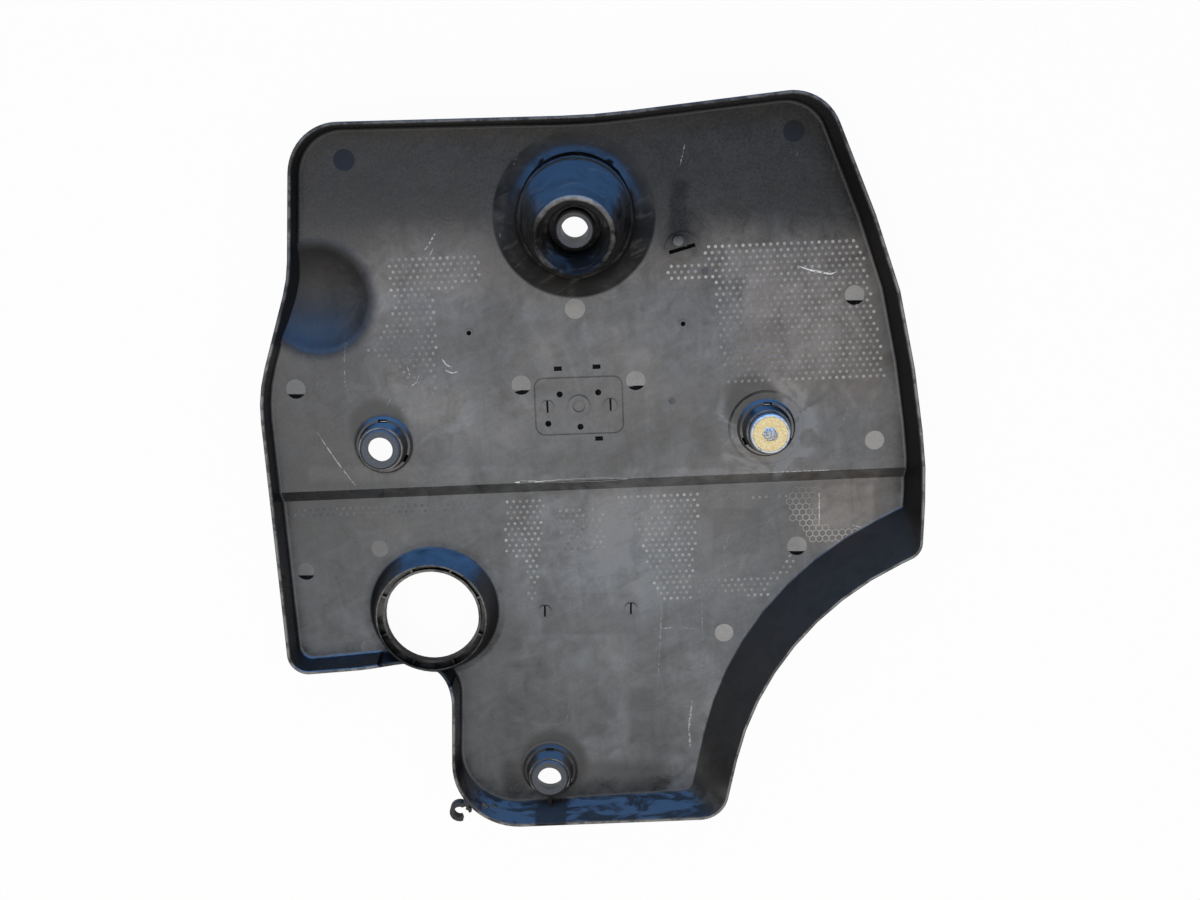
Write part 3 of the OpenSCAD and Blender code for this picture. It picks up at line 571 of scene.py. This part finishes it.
def scuff_burr(finish):
    """Bright torn plastic along a deep scratch, and bright painted highlights drawn the same way, broken up
    by gaps.
    """
    paint = Paint("scuff_burr")
    wear = paint.wear()
    tear = paint.grain(2.2, detail=3)
    colour = paint.mix(wear, finish.dust, (0.8, 0.79, 0.76))
    alpha = (wear * 1.1 - tear.ramp(0.45, 0.75) * (1.15 - wear)).ramp(0.05, 0.35)
    return paint.finish(base_color=colour, roughness=0.6, alpha=alpha)


def crumb_dirt(finish):
    """Dry grey-brown crumbs of road dirt."""
    paint = Paint("crumb_dirt")
    tone = paint.grain(1.2, detail=3)
    colour = paint.mix(tone.ramp(0.4, 0.65), (0.05, 0.045, 0.04), (0.3, 0.27, 0.23))
    return paint.finish(
        base_color=colour, roughness=0.85, normal=paint.bump(tone, 0.2 * MM, 0.8))


def new_object(name, shape, material):
    """An object of a bmesh with its material."""
    mesh = bpy.data.meshes.new(name)
    shape.to_mesh(mesh)
    shape.free()
    mesh.materials.append(material)
    made = bpy.data.objects.new(name, mesh)
    bpy.context.scene.collection.objects.link(made)
    return made


def finished(name, shape, material, smooth_angle=None, replaced=None):
    """Makes a piece of a bmesh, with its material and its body."""
    if smooth_angle is not None:
        for edge in shape.edges:
            edge.smooth = len(edge.link_faces) == 2 and edge.calc_face_angle(math.pi) < smooth_angle
        for face in shape.faces:
            face.smooth = True
    piece = new_object(name, shape, material)
    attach(piece, BODY)
    if replaced:
        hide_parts(replaced)
    return piece


def dressed_copy(node, name, material, smooth_angle=math.radians(32)):
    """A merged copy of a node whose flats shade flat and whose fillets shade smooth."""
    shape = bmesh.new()
    shape.from_mesh(frame["nodes"][node].data)
    bmesh.ops.remove_doubles(shape, verts=shape.verts, dist=0.002 * MM)
    bmesh.ops.dissolve_degenerate(shape, edges=shape.edges, dist=0.001 * MM)
    piece = finished(name, shape, material, smooth_angle, node)
    even = piece.modifiers.new("Even shading", "WEIGHTED_NORMAL")
    even.keep_sharp = True
    even.weight = 80
    return piece


def add_cone(shape, segments, foot, tip, depth):
    """Adds an upright closed cone round the origin and returns its vertices."""
    return bmesh.ops.create_cone(
        shape, cap_ends=True, segments=segments, radius1=foot, radius2=tip, depth=depth)["verts"]


def marked_shape():
    """An empty bmesh and its attribute of how pale each mark is, which the materials read."""
    shape = bmesh.new()
    return shape, shape.verts.layers.float.new("wear")


def put_marked(shape, verts, spot, layer, wear):
    """Moves the vertices to the spot and gives them how pale they are."""
    bmesh.ops.translate(shape, verts=verts, vec=spot)
    for vertex in verts:
        vertex[layer] = wear


def turn_flat(shape, verts, angle):
    """Turns the vertices round the upright axis."""
    bmesh.ops.rotate(shape, verts=verts, cent=(0, 0, 0), matrix=Matrix.Rotation(angle, 3, "Z"))


def inside_outline(point, outline):
    """True if the point lies inside the closed outline."""
    hit = False
    for k, a in enumerate(outline):
        b = outline[k - 1]
        if (a[1] > point.y) != (b[1] > point.y):
            cross = a[0] + (point.y - a[1]) * (b[0] - a[0]) / (b[1] - a[1])
            if point.x < cross:
                hit = not hit
    return hit


def outline_distance(point, outline):
    """Distance from the point to the closed outline."""
    best = 1e9
    for k, a in enumerate(outline):
        start = Vector(a)
        end = Vector(outline[k - 1])
        along = max(0.0, min(1.0, (point - start).dot(end - start) / (end - start).length_squared))
        best = min(best, (start.lerp(end, along) - point).length)
    return best


# Ejector marks: place, radius in millimetres and how pale the mark is
HALF_MARKS = (
    ((-56.1, 47.3), 7, 0.3), ((25.3, 50.6), 7, 0.3), ((178.6, 111.2), 7, 0.42), ((145.2, -73.8), 7.4, 0.34),
    ((-216.7, 44.4), 7, 0.2), ((-217.6, -92.8), 6, 0.14),
)
PLAIN_MARKS = (
    ((-17.6, 101.5), 7.2, 0.34), ((197.3, 7.3), 7, 0.5), ((92.8, -141.2), 7, 0.45),
    ((-162.3, -75.9), 6.4, 0.2), ((-173.4, -152.5), 6, 0.14), ((-175.8, 203.5), 7.4, -0.5),
    ((132.5, 222.8), 7.4, -0.5), ((73.4, 127.9), 2.6, -0.2), ((51.4, 35.8), 2.6, -0.1),
)
# The sine of the angle at which a half mark is cut off, and the chamfer round a mark
HALF_CHORD = 0.52
MARK_CHAMFER_MM = 0.12

# Each field of dots: its outline, how pale its inner and edge dots are, and where the paleness fades out; the
# pale dots are rubbed plastic and painted highlights
DOT_FIELDS = (
    ([(-149, 131), (-147, 139), (-85, 141), (-83, 118), (-116, 115), (-116, 41), (-125, 39), (-145, 62),
      (-166, 71), (-147, 94), (-145, 104)], 0.34, 0.6, (-150, 60), 60),
    ([(47, 134), (73, 136), (73, 146), (176, 152), (184, 139), (192, 107), (197, 84), (204, 51), (92, 46),
      (85, 77), (81, 113), (80, 123), (47, 122)], 0.42, 1.0, (92, 62), 75),
    ([(-225, -44), (-75, -38), (-75, -48), (-225, -54)], 0.02, 0.05, (-60, -42), 90),
    ([(-69, -37), (-40, -36), (-44, -79), (-48, -118), (-55, -118), (-56, -85), (-70, -79)],
     0.42, 0.6, (-60, -120), 30),
    ([(-30, -43), (4, -43), (4, -78), (-28, -78)], 0.3, 0.4, (-30, -78), 30),
    ([(11, -37), (73, -34), (68, -117), (45, -117), (33, -85), (29, -62)], 0.42, 0.7, (20, -50), 25),
    ([(73, -34), (137, -32), (137, -38), (73, -40)], 0.2, 0.3, (73, -34), 20),
    ([(70, -97), (127, -97), (125, -112), (70, -112)], 0.3, 0.55, (70, -97), 30),
    ([(126, -97), (140, -81), (147, -85), (133, -101)], 0.35, 0.5, (120, -100), 10),
)


# Reach of the paler dots at a field's edge, the dots' distance from the marks, and a dot's tip against its
# foot
EDGE_PALE_MM = 2.4
MARK_CLEAR_MM = 1
DOT_TIP_SHARE = 0.6


def dot_grid(outline, pitch_mm):
    """Points of a staggered grid in the outline, along the step line's slope."""
    tilt = Matrix.Rotation(math.atan(STEP_SLOPE), 2)
    back = tilt.inverted()
    corners = [back @ Vector(corner) for corner in outline]
    low = Vector((min(c.x for c in corners), min(c.y for c in corners)))
    high = Vector((max(c.x for c in corners), max(c.y for c in corners)))
    row_gap = pitch_mm * math.sqrt(3) / 2
    first_row = math.floor(low.y / row_gap)
    for row in range(first_row, math.ceil(high.y / row_gap) + 1):
        shift = pitch_mm / 2 * (row % 2)
        for column in range(math.floor(low.x / pitch_mm) - 1, math.ceil(high.x / pitch_mm) + 1):
            point = tilt @ Vector((column * pitch_mm + shift, row * row_gap))
            if inside_outline(point, outline):
                yield point


class COVER_OT_moulding(Operator):
    """Dress the moulded shell with its worn black plastic."""

    bl_idname = "cover.moulding"
    bl_label = "Moulded shell"

    def execute(self, context):
        finish = context.scene.cover_finish
        dressed_copy("cover_shell", "cover_moulding", worn_plastic(finish))
        return {"FINISHED"}


class COVER_OT_bushes(Operator):
    """Dress the four rubber bushes."""

    bl_idname = "cover.bushes"
    bl_label = "Rubber bushes"

    def execute(self, context):
        rubber = bush_rubber(context.scene.cover_finish)
        for node in ("tower_bush", "left_bush", "bottom_bush", "right_bush"):
            dressed_copy(node, node + "_rubber", rubber)
        return {"FINISHED"}


# Ragged metal round the screw's end, and how far its middle lies below that end
BURR_FOOT_MM = 6.2
BURR_TIP_MM = 3.6
BURR_HEIGHT_MM = 1.6
BURR_SINK_MM = 1.25


class COVER_OT_captive_screw(Operator):
    """Dress the sleeve, the plated washer and the screw, and ragged metal round the screw's end."""

    bl_idname = "cover.captive_screw"
    bl_label = "Captive screw"

    def execute(self, context):
        finish = context.scene.cover_finish
        dressed_copy("screw_sleeve", "sleeve_turned", sleeve_metal(finish))
        dressed_copy("screw_washer", "washer_plated", washer_plating(finish))
        steel = screw_steel(finish)
        dressed_copy("captive_screw", "screw_worn", steel)
        dice = random.Random(context.scene.cover_sizes.seed)
        shape = bmesh.new()
        for vertex in add_cone(shape, 28, BURR_FOOT_MM * MM, BURR_TIP_MM * MM, BURR_HEIGHT_MM * MM):
            ragged = 1 + dice.uniform(-0.22, 0.16)
            vertex.co.x *= ragged
            vertex.co.y *= ragged
        middle = place(*RIGHT_BOSS_MM, SCREW_END_MM - BURR_SINK_MM)
        bmesh.ops.translate(shape, verts=shape.verts, vec=middle)
        finished("screw_burr", shape, steel, math.radians(30))
        return {"FINISHED"}


class COVER_OT_grain_dots(Operator):
    """Raise the fields of small dots on the deck."""

    bl_idname = "cover.grain_dots"
    bl_label = "Fields of dots"

    def execute(self, context):
        sizes = context.scene.cover_sizes
        shape, layer = marked_shape()
        dice = random.Random(sizes.seed)
        marks = HALF_MARKS + PLAIN_MARKS
        for outline, inner, edge, fade_at, fade_reach in DOT_FIELDS:
            for point in dot_grid(outline, sizes.dot_pitch / MM):
                if any((point - Vector(mark[0])).length < mark[1] + MARK_CLEAR_MM for mark in marks):
                    continue
                near = math.exp(-outline_distance(point, outline) / EDGE_PALE_MM)
                fade = min(1.0, (point - Vector(fade_at)).length / fade_reach)
                # How pale each dot is: rubbed plastic and painted highlight
                wear = (inner + (edge - inner) * near) * (0.25 + 0.75 * fade) * dice.uniform(0.6, 1.15)
                verts = add_cone(
                    shape, 8, sizes.dot_radius, sizes.dot_radius * DOT_TIP_SHARE, 2 * sizes.dot_height)
                put_marked(shape, verts, on_deck(*point), layer, wear)
        finished("grain_dots", shape, bpy.data.materials["marked_plastic"], math.radians(80))
        return {"FINISHED"}


# The net's pale stretches, rubbed plastic and painted highlights: middle of each, its reach, and how pale it
# is
NET_PATCHES = (
    ((142, -40), 7, 0.5), ((146, -48), 8, 0.7), ((153, -55), 8, 0.85), ((160, -63), 8, 1.0),
    ((170, -66), 9, 1.0), ((181, -67), 9, 1.0), ((189, -66), 7, 0.9), ((151, -38), 8, 0.4),
    ((158, -47), 8, 0.4),
)
NET_OUTLINE = ((136, -31), (160, -31), (161, -59), (193, -62), (192, -70), (153, -70), (140, -50))
# Paleness below which the net has no cell, how much larger its cells are than their grid, and its walls
NET_LEAST_PALE = 0.12
NET_OVERLAP = 1.02
NET_TOP_MM = 0.18
NET_DEPTH_MM = 0.3


class COVER_OT_pale_net(Operator):
    """Raise the net of six-sided cells at the right of the lower deck, pale with rubbing and painted
    highlights.
    """

    bl_idname = "cover.worn_net"
    bl_label = "Worn net"

    def execute(self, context):
        sizes = context.scene.cover_sizes
        shape, layer = marked_shape()
        for point in dot_grid(NET_OUTLINE, sizes.dot_pitch / MM):
            wear = max(
                pale * max(0.0, 1 - (point - Vector(middle)).length / (reach * 1.35)) ** 0.5
                for middle, reach, pale in NET_PATCHES)
            if wear < NET_LEAST_PALE:
                continue
            made = bmesh.ops.create_circle(
                shape, cap_ends=True, segments=6, radius=sizes.dot_pitch / math.sqrt(3) * NET_OVERLAP)
            cell = made["verts"][0].link_faces[0]
            turn_flat(shape, made["verts"], math.atan(STEP_SLOPE))
            bmesh.ops.inset_individual(shape, faces=[cell], thickness=sizes.net_wall / 2)
            ring = {vertex for edge in cell.edges for vertex in edge.verts} | set(made["verts"])
            bmesh.ops.delete(shape, geom=[cell], context="FACES_ONLY")
            put_marked(shape, list(ring), on_deck(*point, NET_TOP_MM), layer, wear)
        walls = bmesh.ops.extrude_face_region(shape, geom=list(shape.faces))
        lowered = [item for item in walls["geom"] if isinstance(item, bmesh.types.BMVert)]
        bmesh.ops.translate(shape, verts=lowered, vec=(0, 0, -NET_DEPTH_MM * MM))
        bmesh.ops.recalc_face_normals(shape, faces=shape.faces)
        finished("worn_net", shape, bpy.data.materials["marked_plastic"])
        return {"FINISHED"}


class COVER_OT_ejector_marks(Operator):
    """Raise the round witness marks that the mould's ejectors left."""

    bl_idname = "cover.ejector_marks"
    bl_label = "Ejector marks"

    def execute(self, context):
        sizes = context.scene.cover_sizes
        shape, layer = marked_shape()
        scale = sizes.mark_radius / (MARK_MM * MM)
        for middle, radius, wear in HALF_MARKS + PLAIN_MARKS:
            foot = radius * scale * MM
            verts = add_cone(shape, 40, foot, foot - MARK_CHAMFER_MM * scale * MM, 2 * sizes.mark_height)
            if (middle, radius, wear) in HALF_MARKS:
                faces = list({face for vertex in verts for face in vertex.link_faces})
                edges = list({edge for vertex in verts for edge in vertex.link_edges})
                cut = bmesh.ops.bisect_plane(
                    shape, geom=verts + edges + faces, clear_inner=True, dist=1e-7,
                    plane_co=(0, -foot * HALF_CHORD, 0), plane_no=(0, 1, 0))
                rim = [item for item in cut["geom_cut"] if isinstance(item, bmesh.types.BMEdge)]
                bmesh.ops.edgeloop_fill(shape, edges=rim)
                verts = {vertex for vertex in cut["geom"] if isinstance(vertex, bmesh.types.BMVert)}
                verts = [vertex for vertex in verts.union(*(edge.verts for edge in rim)) if vertex.is_valid]
            put_marked(shape, verts, on_deck(*middle), layer, wear)
        bmesh.ops.recalc_face_normals(shape, faces=shape.faces)
        finished("ejector_marks", shape, bpy.data.materials["marked_plastic"], math.radians(35))
        return {"FINISHED"}


# Deck scuffs, with painted highlights among them: points on the deck, width in millimetres and how bright
# each strip is; the strips along the step's edge are painted highlight as well as rubbed plastic, and the
# strip from (193, -66) to (222, -64) is a painted glint
SCUFFS_AND_GLINTS = (
    ([(138, 131.5), (146, 128.8), (155, 127), (161, 126), (166, 127.5)], 1.3, 1.0),
    ([(-123, 141), (-118, 148), (-114, 155)], 1.2, 0.32),
    ([(-119, 138), (-116, 144)], 0.8, 0.3),
    ([(-203, 13), (-190, -8), (-176.5, -27)], 0.8, 0.4),
    ([(-180, 78), (-181.5, 60), (-181, 39)], 0.8, 0.25),
    # Along the step's edge: painted highlight as well as rubbed plastic
    ([(-48, -23.6), (-20, -22.6), (0, -21.9), (20, -21.3)], 3.0, 0.8),
    ([(-62, -24), (-52, -23.6), (-44, -23.4)], 2.0, 0.6),
    ([(120, -16.6), (145, -15.6), (170, -14.6)], 0.8, 0.4),
    ([(46, -110), (45, -150), (43, -190)], 0.9, 0.24),
    ([(75, -108), (77, -160), (72, -200)], 0.9, 0.22),
    ([(70, -195), (68, -215), (69, -236)], 1.6, 0.35),
    ([(160, -33), (160.6, -46), (161, -59)], 1.0, 0.7),
    # Painted highlight: a glint on the lower deck
    ([(193, -66), (208, -66.5), (222, -64)], 1.8, 0.7),
    ([(185, -58), (194, -60)], 0.7, 0.6),
    ([(-112, 66), (-109, 62), (-105, 60)], 1.0, 0.6),
    ([(-110, 58), (-105, 56), (-101, 57)], 1.0, 0.6),
    ([(-140, 66), (-136, 58), (-135, 50)], 0.8, 0.35),
    ([(-128, 56), (-132, 48), (-140, 46)], 0.8, 0.3),
    ([(40, -139), (56, -137), (70, -138)], 0.8, 0.3),
    ([(-70, 150), (-66, 168)], 0.5, 0.25),
    ([(55, 200), (58, 214)], 0.6, 0.35),
)
SCUFF_AND_GLINT_STEPS = 10
# Fine scratches: middle and reach of a zone, main direction in degrees, its spread, length, count, brightness
SCRATCH_ZONES = (
    ((-125, 62), (34, 40), 80, 40, 18, 14, 0.2),
    ((-195, 60), (18, 30), 95, 30, 18, 6, 0.18),
    ((-60, 190), (60, 22), 60, 50, 14, 6, 0.14),
    ((120, 175), (60, 40), 70, 50, 18, 8, 0.14),
    ((150, 60), (40, 50), 40, 60, 22, 10, 0.18),
    ((20, -150), (60, 70), 85, 14, 36, 16, 0.16),
    ((85, -110), (24, 40), 80, 18, 34, 8, 0.18),
    ((60, -50), (100, 22), 20, 50, 22, 10, 0.16),
    ((-195, -95), (26, 40), 70, 50, 20, 8, 0.16),
)


def fine_scratches(dice):
    """Points, width and brightness of each fine scratch in the zones."""
    for middle, reach, heading, spread, length, count, bright in SCRATCH_ZONES:
        for _ in range(count):
            offset = Vector((dice.uniform(-reach[0], reach[0]), dice.uniform(-reach[1], reach[1])))
            start = Vector(middle) + offset
            angle = math.radians(heading + dice.gauss(0, spread / 2))
            run = Vector((math.cos(angle), math.sin(angle))) * length * dice.uniform(0.3, 1.3)
            bow = Vector((-run.y, run.x)) * dice.gauss(0, 0.07)
            width = dice.uniform(0.3, 0.7)
            yield [start, start + run / 2 + bow, start + run], width, bright * dice.uniform(0.5, 1.4)


def curved(points, steps):
    """A smooth run through the points."""
    for k in range(len(points) - 1):
        before = Vector(points[max(k - 1, 0)])
        start = Vector(points[k])
        end = Vector(points[k + 1])
        after = Vector(points[min(k + 2, len(points) - 1)])
        for step in range(steps + (k == len(points) - 2)):
            t = step / steps
            yield 0.5 * (
                2 * start + (end - before) * t + (2 * before - 5 * start + 4 * end - after) * t * t
                + (3 * start - before - 3 * end + after) * t ** 3)


class COVER_OT_scuffs_and_glints(Operator):
    """Lay the thin burrs of torn plastic along the deep scratches, and the painted highlights along the
    step's edge and on the lower deck.
    """

    bl_idname = "cover.scuffs"
    bl_label = "Scuffs"

    def execute(self, context):
        sizes = context.scene.cover_sizes
        lift = sizes.scuff_and_glint_lift / MM
        dice = random.Random(sizes.seed + 1)
        shape, layer = marked_shape()
        for points, width, bright in [*SCUFFS_AND_GLINTS, *fine_scratches(dice)]:
            run = list(curved(points, SCUFF_AND_GLINT_STEPS))
            last = None
            for k, point in enumerate(run):
                ahead = run[min(k + 1, len(run) - 1)] - run[max(k - 1, 0)]
                side = Vector((-ahead.y, ahead.x)).normalized()
                ends = min(1.0, 4 * k / len(run), 4 * (len(run) - 1 - k) / len(run)) + 0.12
                half = side * width / 2 * ends * dice.uniform(0.55, 1.1)
                pair = [shape.verts.new(on_deck(*(point + offset), lift)) for offset in (-half, half)]
                for vertex in pair:
                    vertex[layer] = bright * dice.uniform(0.7, 1.1)
                if last:
                    shape.faces.new((last[0], pair[0], pair[1], last[1]))
                last = pair
        bmesh.ops.recalc_face_normals(shape, faces=shape.faces)
        for face in shape.faces:
            if face.normal.z < 0:
                face.normal_flip()
        finished("deck_scuffs", shape, scuff_burr(context.scene.cover_finish))
        return {"FINISHED"}


# Crumbs of dirt: place on the deck, radius in millimetres and count
CRUMBS = (((99.5, -187), 3.2, 9), ((160, -116), 2.0, 5), ((186, -80), 2.4, 6), ((60, 145), 1.2, 3))
CRUMB_LUMP_SCALE = 900
CRUMB_FLATNESS = 0.5
CRUMB_LIFT_MM = 0.1


class COVER_OT_crumbs(Operator):
    """Scatter the few dry crumbs of dirt."""

    bl_idname = "cover.crumbs"
    bl_label = "Dirt crumbs"

    def execute(self, context):
        dice = random.Random(context.scene.cover_sizes.seed + 2)
        shape = bmesh.new()
        for middle, reach, count in CRUMBS:
            for _ in range(count):
                spot = Vector(middle) + Vector((dice.gauss(0, reach / 2), dice.gauss(0, reach / 2)))
                size = dice.uniform(0.35, 1.0) * reach / 3 * MM
                made = bmesh.ops.create_icosphere(shape, subdivisions=2, radius=size)
                for vertex in made["verts"]:
                    lump = noise.noise(vertex.co * CRUMB_LUMP_SCALE + Vector((spot.x, spot.y, 0)))
                    vertex.co *= 1 + 0.35 * lump
                    vertex.co.z *= CRUMB_FLATNESS
                bmesh.ops.translate(shape, verts=made["verts"], vec=on_deck(*spot, CRUMB_LIFT_MM))
        finished("dirt_crumbs", shape, crumb_dirt(context.scene.cover_finish), math.radians(60))
        return {"FINISHED"}


CLIP_MM = Vector((56.4, 145.8))
SEAT_MM = Vector((-15, 32.5))
SEAT_TURN = 2
NOTCH_SIZE = (5.4, 3.0)
BOSS_SLOT_SIZE = (2.3, 5.9)
BOSS_SLOT_REACH_MM = 18
PEG_SLOT_SIZE = (1.3, 8.6)
PEG_REACH_MM = 22.5
# Slots closed with dark sheets of painted shade: middle, turn in degrees, offset along the turn, and size
CLIP_SLOT = (CLIP_MM, 17, (0, -2.4), (18.8, 2.5))
BOSS_SLOTS = [
    (boss, turn, (BOSS_SLOT_REACH_MM, 0), BOSS_SLOT_SIZE)
    for boss in (LEFT_BOSS_MM, RIGHT_BOSS_MM) for turn in (90, 210, 330)]
SEAT_NOTCHES = [
    (SEAT_MM, SEAT_TURN, offset, NOTCH_SIZE) for offset in ((-14, 27), (13.5, 27.5), (13.5, -24.5))]
SEAT_PEG_SLOTS = [(SEAT_MM, SEAT_TURN, (side * PEG_REACH_MM, 0), PEG_SLOT_SIZE) for side in (-1, 1)]
LOW_PEG_SLOTS = [(Vector(spot), 0, (0, 0), PEG_SLOT_SIZE) for spot in ((-41, -124), (23, -122))]
# Groups of slots, and the heights between which the painted shade lies
SHADE_LAYERS = (
    ([CLIP_SLOT, *BOSS_SLOTS], -2.3, -0.8), (SEAT_NOTCHES, -1.9, -1.0), (SEAT_PEG_SLOTS, 0.4, 0.9),
    (LOW_PEG_SLOTS, 0.4 - STEP_DROP_MM, 0.9 - STEP_DROP_MM))
# Round holes with painted shade at their bottom: middle, radius
ROUND_HOLES = [((-92.5, 84.5), 1.6), ((58.5, 91), 1.6)] + [
    (SEAT_MM + Matrix.Rotation(math.radians(SEAT_TURN), 2) @ Vector(spot), 2.1)
    for spot in ((-13.5, 8.5), (14, 9), (0.5, -15.5), (-22.5, -12.5))]
HOLE_SHADE_MM = 0.8
HOLE_SHADE_LEVEL_MM = -1.5
# Turn in degrees of each half mark's slot, and the size and place of its painted shade
SLOT_TURNS = (14, 12, 0, 0, 0, 0)
SLOT_SHADE_RADIUS_MM = 6.9
SLOT_SHADE_SINK_MM = 1.0


class COVER_OT_slot_shade(Operator):
    """Fill narrow slots, holes and the ejector marks' slots with dark sheets of painted shade."""

    bl_idname = "cover.packed_dirt"
    bl_label = "Dirt in the slots"

    def execute(self, context):
        shape = bmesh.new()
        for slots, low, high in SHADE_LAYERS:
            for middle, turn, offset, size in slots:
                verts = bmesh.ops.create_cube(shape, size=MM)["verts"]
                bmesh.ops.scale(shape, verts=verts, vec=(*size, high - low))
                bmesh.ops.translate(shape, verts=verts, vec=Vector((*offset, 0)) * MM)
                turn_flat(shape, verts, math.radians(turn))
                bmesh.ops.translate(shape, verts=verts, vec=place(*middle, (high + low) / 2))
        for middle, radius in ROUND_HOLES:
            verts = add_cone(shape, 24, radius * MM, radius * MM, HOLE_SHADE_MM * MM)
            bmesh.ops.translate(shape, verts=verts, vec=place(*middle, HOLE_SHADE_LEVEL_MM))
        chord = math.asin(HALF_CHORD)
        angles = [math.pi + chord + (math.pi - 2 * chord) * k / 24 for k in range(25)]
        arc = [Vector((math.cos(angle), math.sin(angle))) * SLOT_SHADE_RADIUS_MM for angle in angles]
        for (middle, _, _), turn in zip(HALF_MARKS, SLOT_TURNS):
            turned = [Matrix.Rotation(math.radians(turn), 2) @ point + Vector(middle) for point in arc]
            level = deck_level(*middle) - SLOT_SHADE_SINK_MM
            shape.faces.new([shape.verts.new(place(*point, level)) for point in turned])
        for face in shape.faces:
            face.normal_update()
        finished("packed_dirt", shape, packed_dirt(context.scene.cover_finish))
        return {"FINISHED"}


FLOOR_HALVES_M = (6, 6, 1)
FLOOR_DROP_M = 0.0002
FLOOR_GREY = (0.86, 0.86, 0.86, 1)
FLOOR_WHITE_SHARE = 0.96
SKY_HALVES_M = (1.8, 1.0, 1)
SKY_PLACE = (0, 1.3, 0.75)
SKY_COLOUR = (0.16, 0.43, 1.0, 1)
SENSOR_MM = 36
# Name, place, size and colour of each lamp, and the studio's value that is its power
LAMPS = (
    ("overhead_lamp", (-0.1, -0.35, 1.6), (1.6, 1.1), (1, 0.99, 0.97), "key_power"),
    ("sky_lamp", (0.0, 1.5, 0.42), (2.2, 0.6), (0.2, 0.48, 1.0), "sky_power"),
)


def studio_plane(name, halves, material):
    """A flat object of the studio."""
    shape = bmesh.new()
    bmesh.ops.create_grid(shape, x_segments=1, y_segments=1, size=1)
    bmesh.ops.scale(shape, verts=shape.verts, vec=halves)
    return new_object(name, shape, material)


class COVER_OT_studio(Operator):
    """Set up the camera, the pale floor, the lamps and the even light."""

    bl_idname = "cover.studio"
    bl_label = "Studio"

    def camera(self, scene, studio):
        data = bpy.data.cameras.new("view")
        data.lens = studio.lens
        data.sensor_width = SENSOR_MM
        data.clip_start = 0.01
        camera = bpy.data.objects.new("view", data)
        scene.collection.objects.link(camera)
        direction = Vector((0, math.sin(studio.camera_tilt), math.cos(studio.camera_tilt)))
        camera.location = DATUM + studio.camera_reach * direction
        camera.rotation_euler = (-studio.camera_tilt, 0, 0)
        scene.camera = camera

    def floor(self):
        paint = Paint("studio_floor")
        lit = paint.node("ShaderNodeBsdfDiffuse", {}, {"Color": FLOOR_GREY})
        floor = studio_plane(
            "studio_floor", FLOOR_HALVES_M,
            paint.finish_with_white(FLOOR_WHITE_SHARE, lit, "ShaderNodeEmission"))
        floor.location.z = -FLOOR_DROP_M

    def world(self, scene, studio):
        paint = Paint("studio_light", "worlds", "ShaderNodeOutputWorld")
        lit = paint.node("ShaderNodeBackground", {}, {"Color": WHITE, "Strength": studio.room_light})
        scene.world = paint.finish_with_white(1.0, lit, "ShaderNodeBackground")

    def sky(self, studio):
        paint = Paint("studio_sky")
        glow = paint.node("ShaderNodeEmission", {}, {"Color": SKY_COLOUR, "Strength": studio.sky_glow})
        sky = studio_plane("studio_sky", SKY_HALVES_M, paint.close(glow))
        sky.location = SKY_PLACE
        sky.rotation_euler = (-sky.location).to_track_quat("Z", "Y").to_euler()
        for ray in ("camera", "diffuse", "transmission", "volume_scatter", "shadow"):
            setattr(sky, "visible_" + ray, False)

    def lamps(self, scene, studio):
        for name, spot, size, tone, power in LAMPS:
            data = bpy.data.lights.new(name, "AREA")
            data.shape = "RECTANGLE"
            data.size, data.size_y = size
            data.energy = getattr(studio, power)
            data.color = tone
            lamp = bpy.data.objects.new(name, data)
            scene.collection.objects.link(lamp)
            lamp.location = spot
            lamp.rotation_euler = (-Vector(spot)).to_track_quat("-Z", "Y").to_euler()
            lamp.visible_camera = False

    def execute(self, context):
        scene = context.scene
        studio = scene.cover_studio
        scene.view_settings.view_transform = "Standard"
        self.camera(scene, studio)
        self.floor()
        self.world(scene, studio)
        self.sky(studio)
        self.lamps(scene, studio)
        return {"FINISHED"}


PIECES = (
    COVER_OT_moulding, COVER_OT_bushes, COVER_OT_captive_screw, COVER_OT_grain_dots, COVER_OT_pale_net,
    COVER_OT_ejector_marks, COVER_OT_scuffs_and_glints, COVER_OT_crumbs, COVER_OT_slot_shade, COVER_OT_studio,
)


class COVER_PT_dresser(Panel):
    """Lists the cover's pieces, finishes and studio."""

    bl_idname = "COVER_PT_dresser"
    bl_label = "Engine cover"
    bl_space_type = "VIEW_3D"
    bl_region_type = "UI"
    bl_category = "Engine cover"

    def draw(self, context):
        layout = self.layout
        for piece in PIECES:
            layout.operator(piece.bl_idname)
        for group in (context.scene.cover_sizes, context.scene.cover_finish, context.scene.cover_studio):
            column = layout.column()
            for name in group.__annotations__:
                column.prop(group, name)


CLASSES = (CoverSizes, CoverFinish, CoverStudio, *PIECES, COVER_PT_dresser)


def register():
    for kind in CLASSES:
        bpy.utils.register_class(kind)
    bpy.types.Scene.cover_sizes = PointerProperty(type=CoverSizes)
    bpy.types.Scene.cover_finish = PointerProperty(type=CoverFinish)
    bpy.types.Scene.cover_studio = PointerProperty(type=CoverStudio)


def unregister():
    del bpy.types.Scene.cover_studio
    del bpy.types.Scene.cover_finish
    del bpy.types.Scene.cover_sizes
    for kind in reversed(CLASSES):
        bpy.utils.unregister_class(kind)


def main():
    """Builds every piece and the studio."""
    register()
    marked_plastic(bpy.context.scene.cover_finish)
    for piece in PIECES:
        group, name = piece.bl_idname.split(".")
        getattr(getattr(bpy.ops, group), name)()


if __name__ == "__main__":
    main()
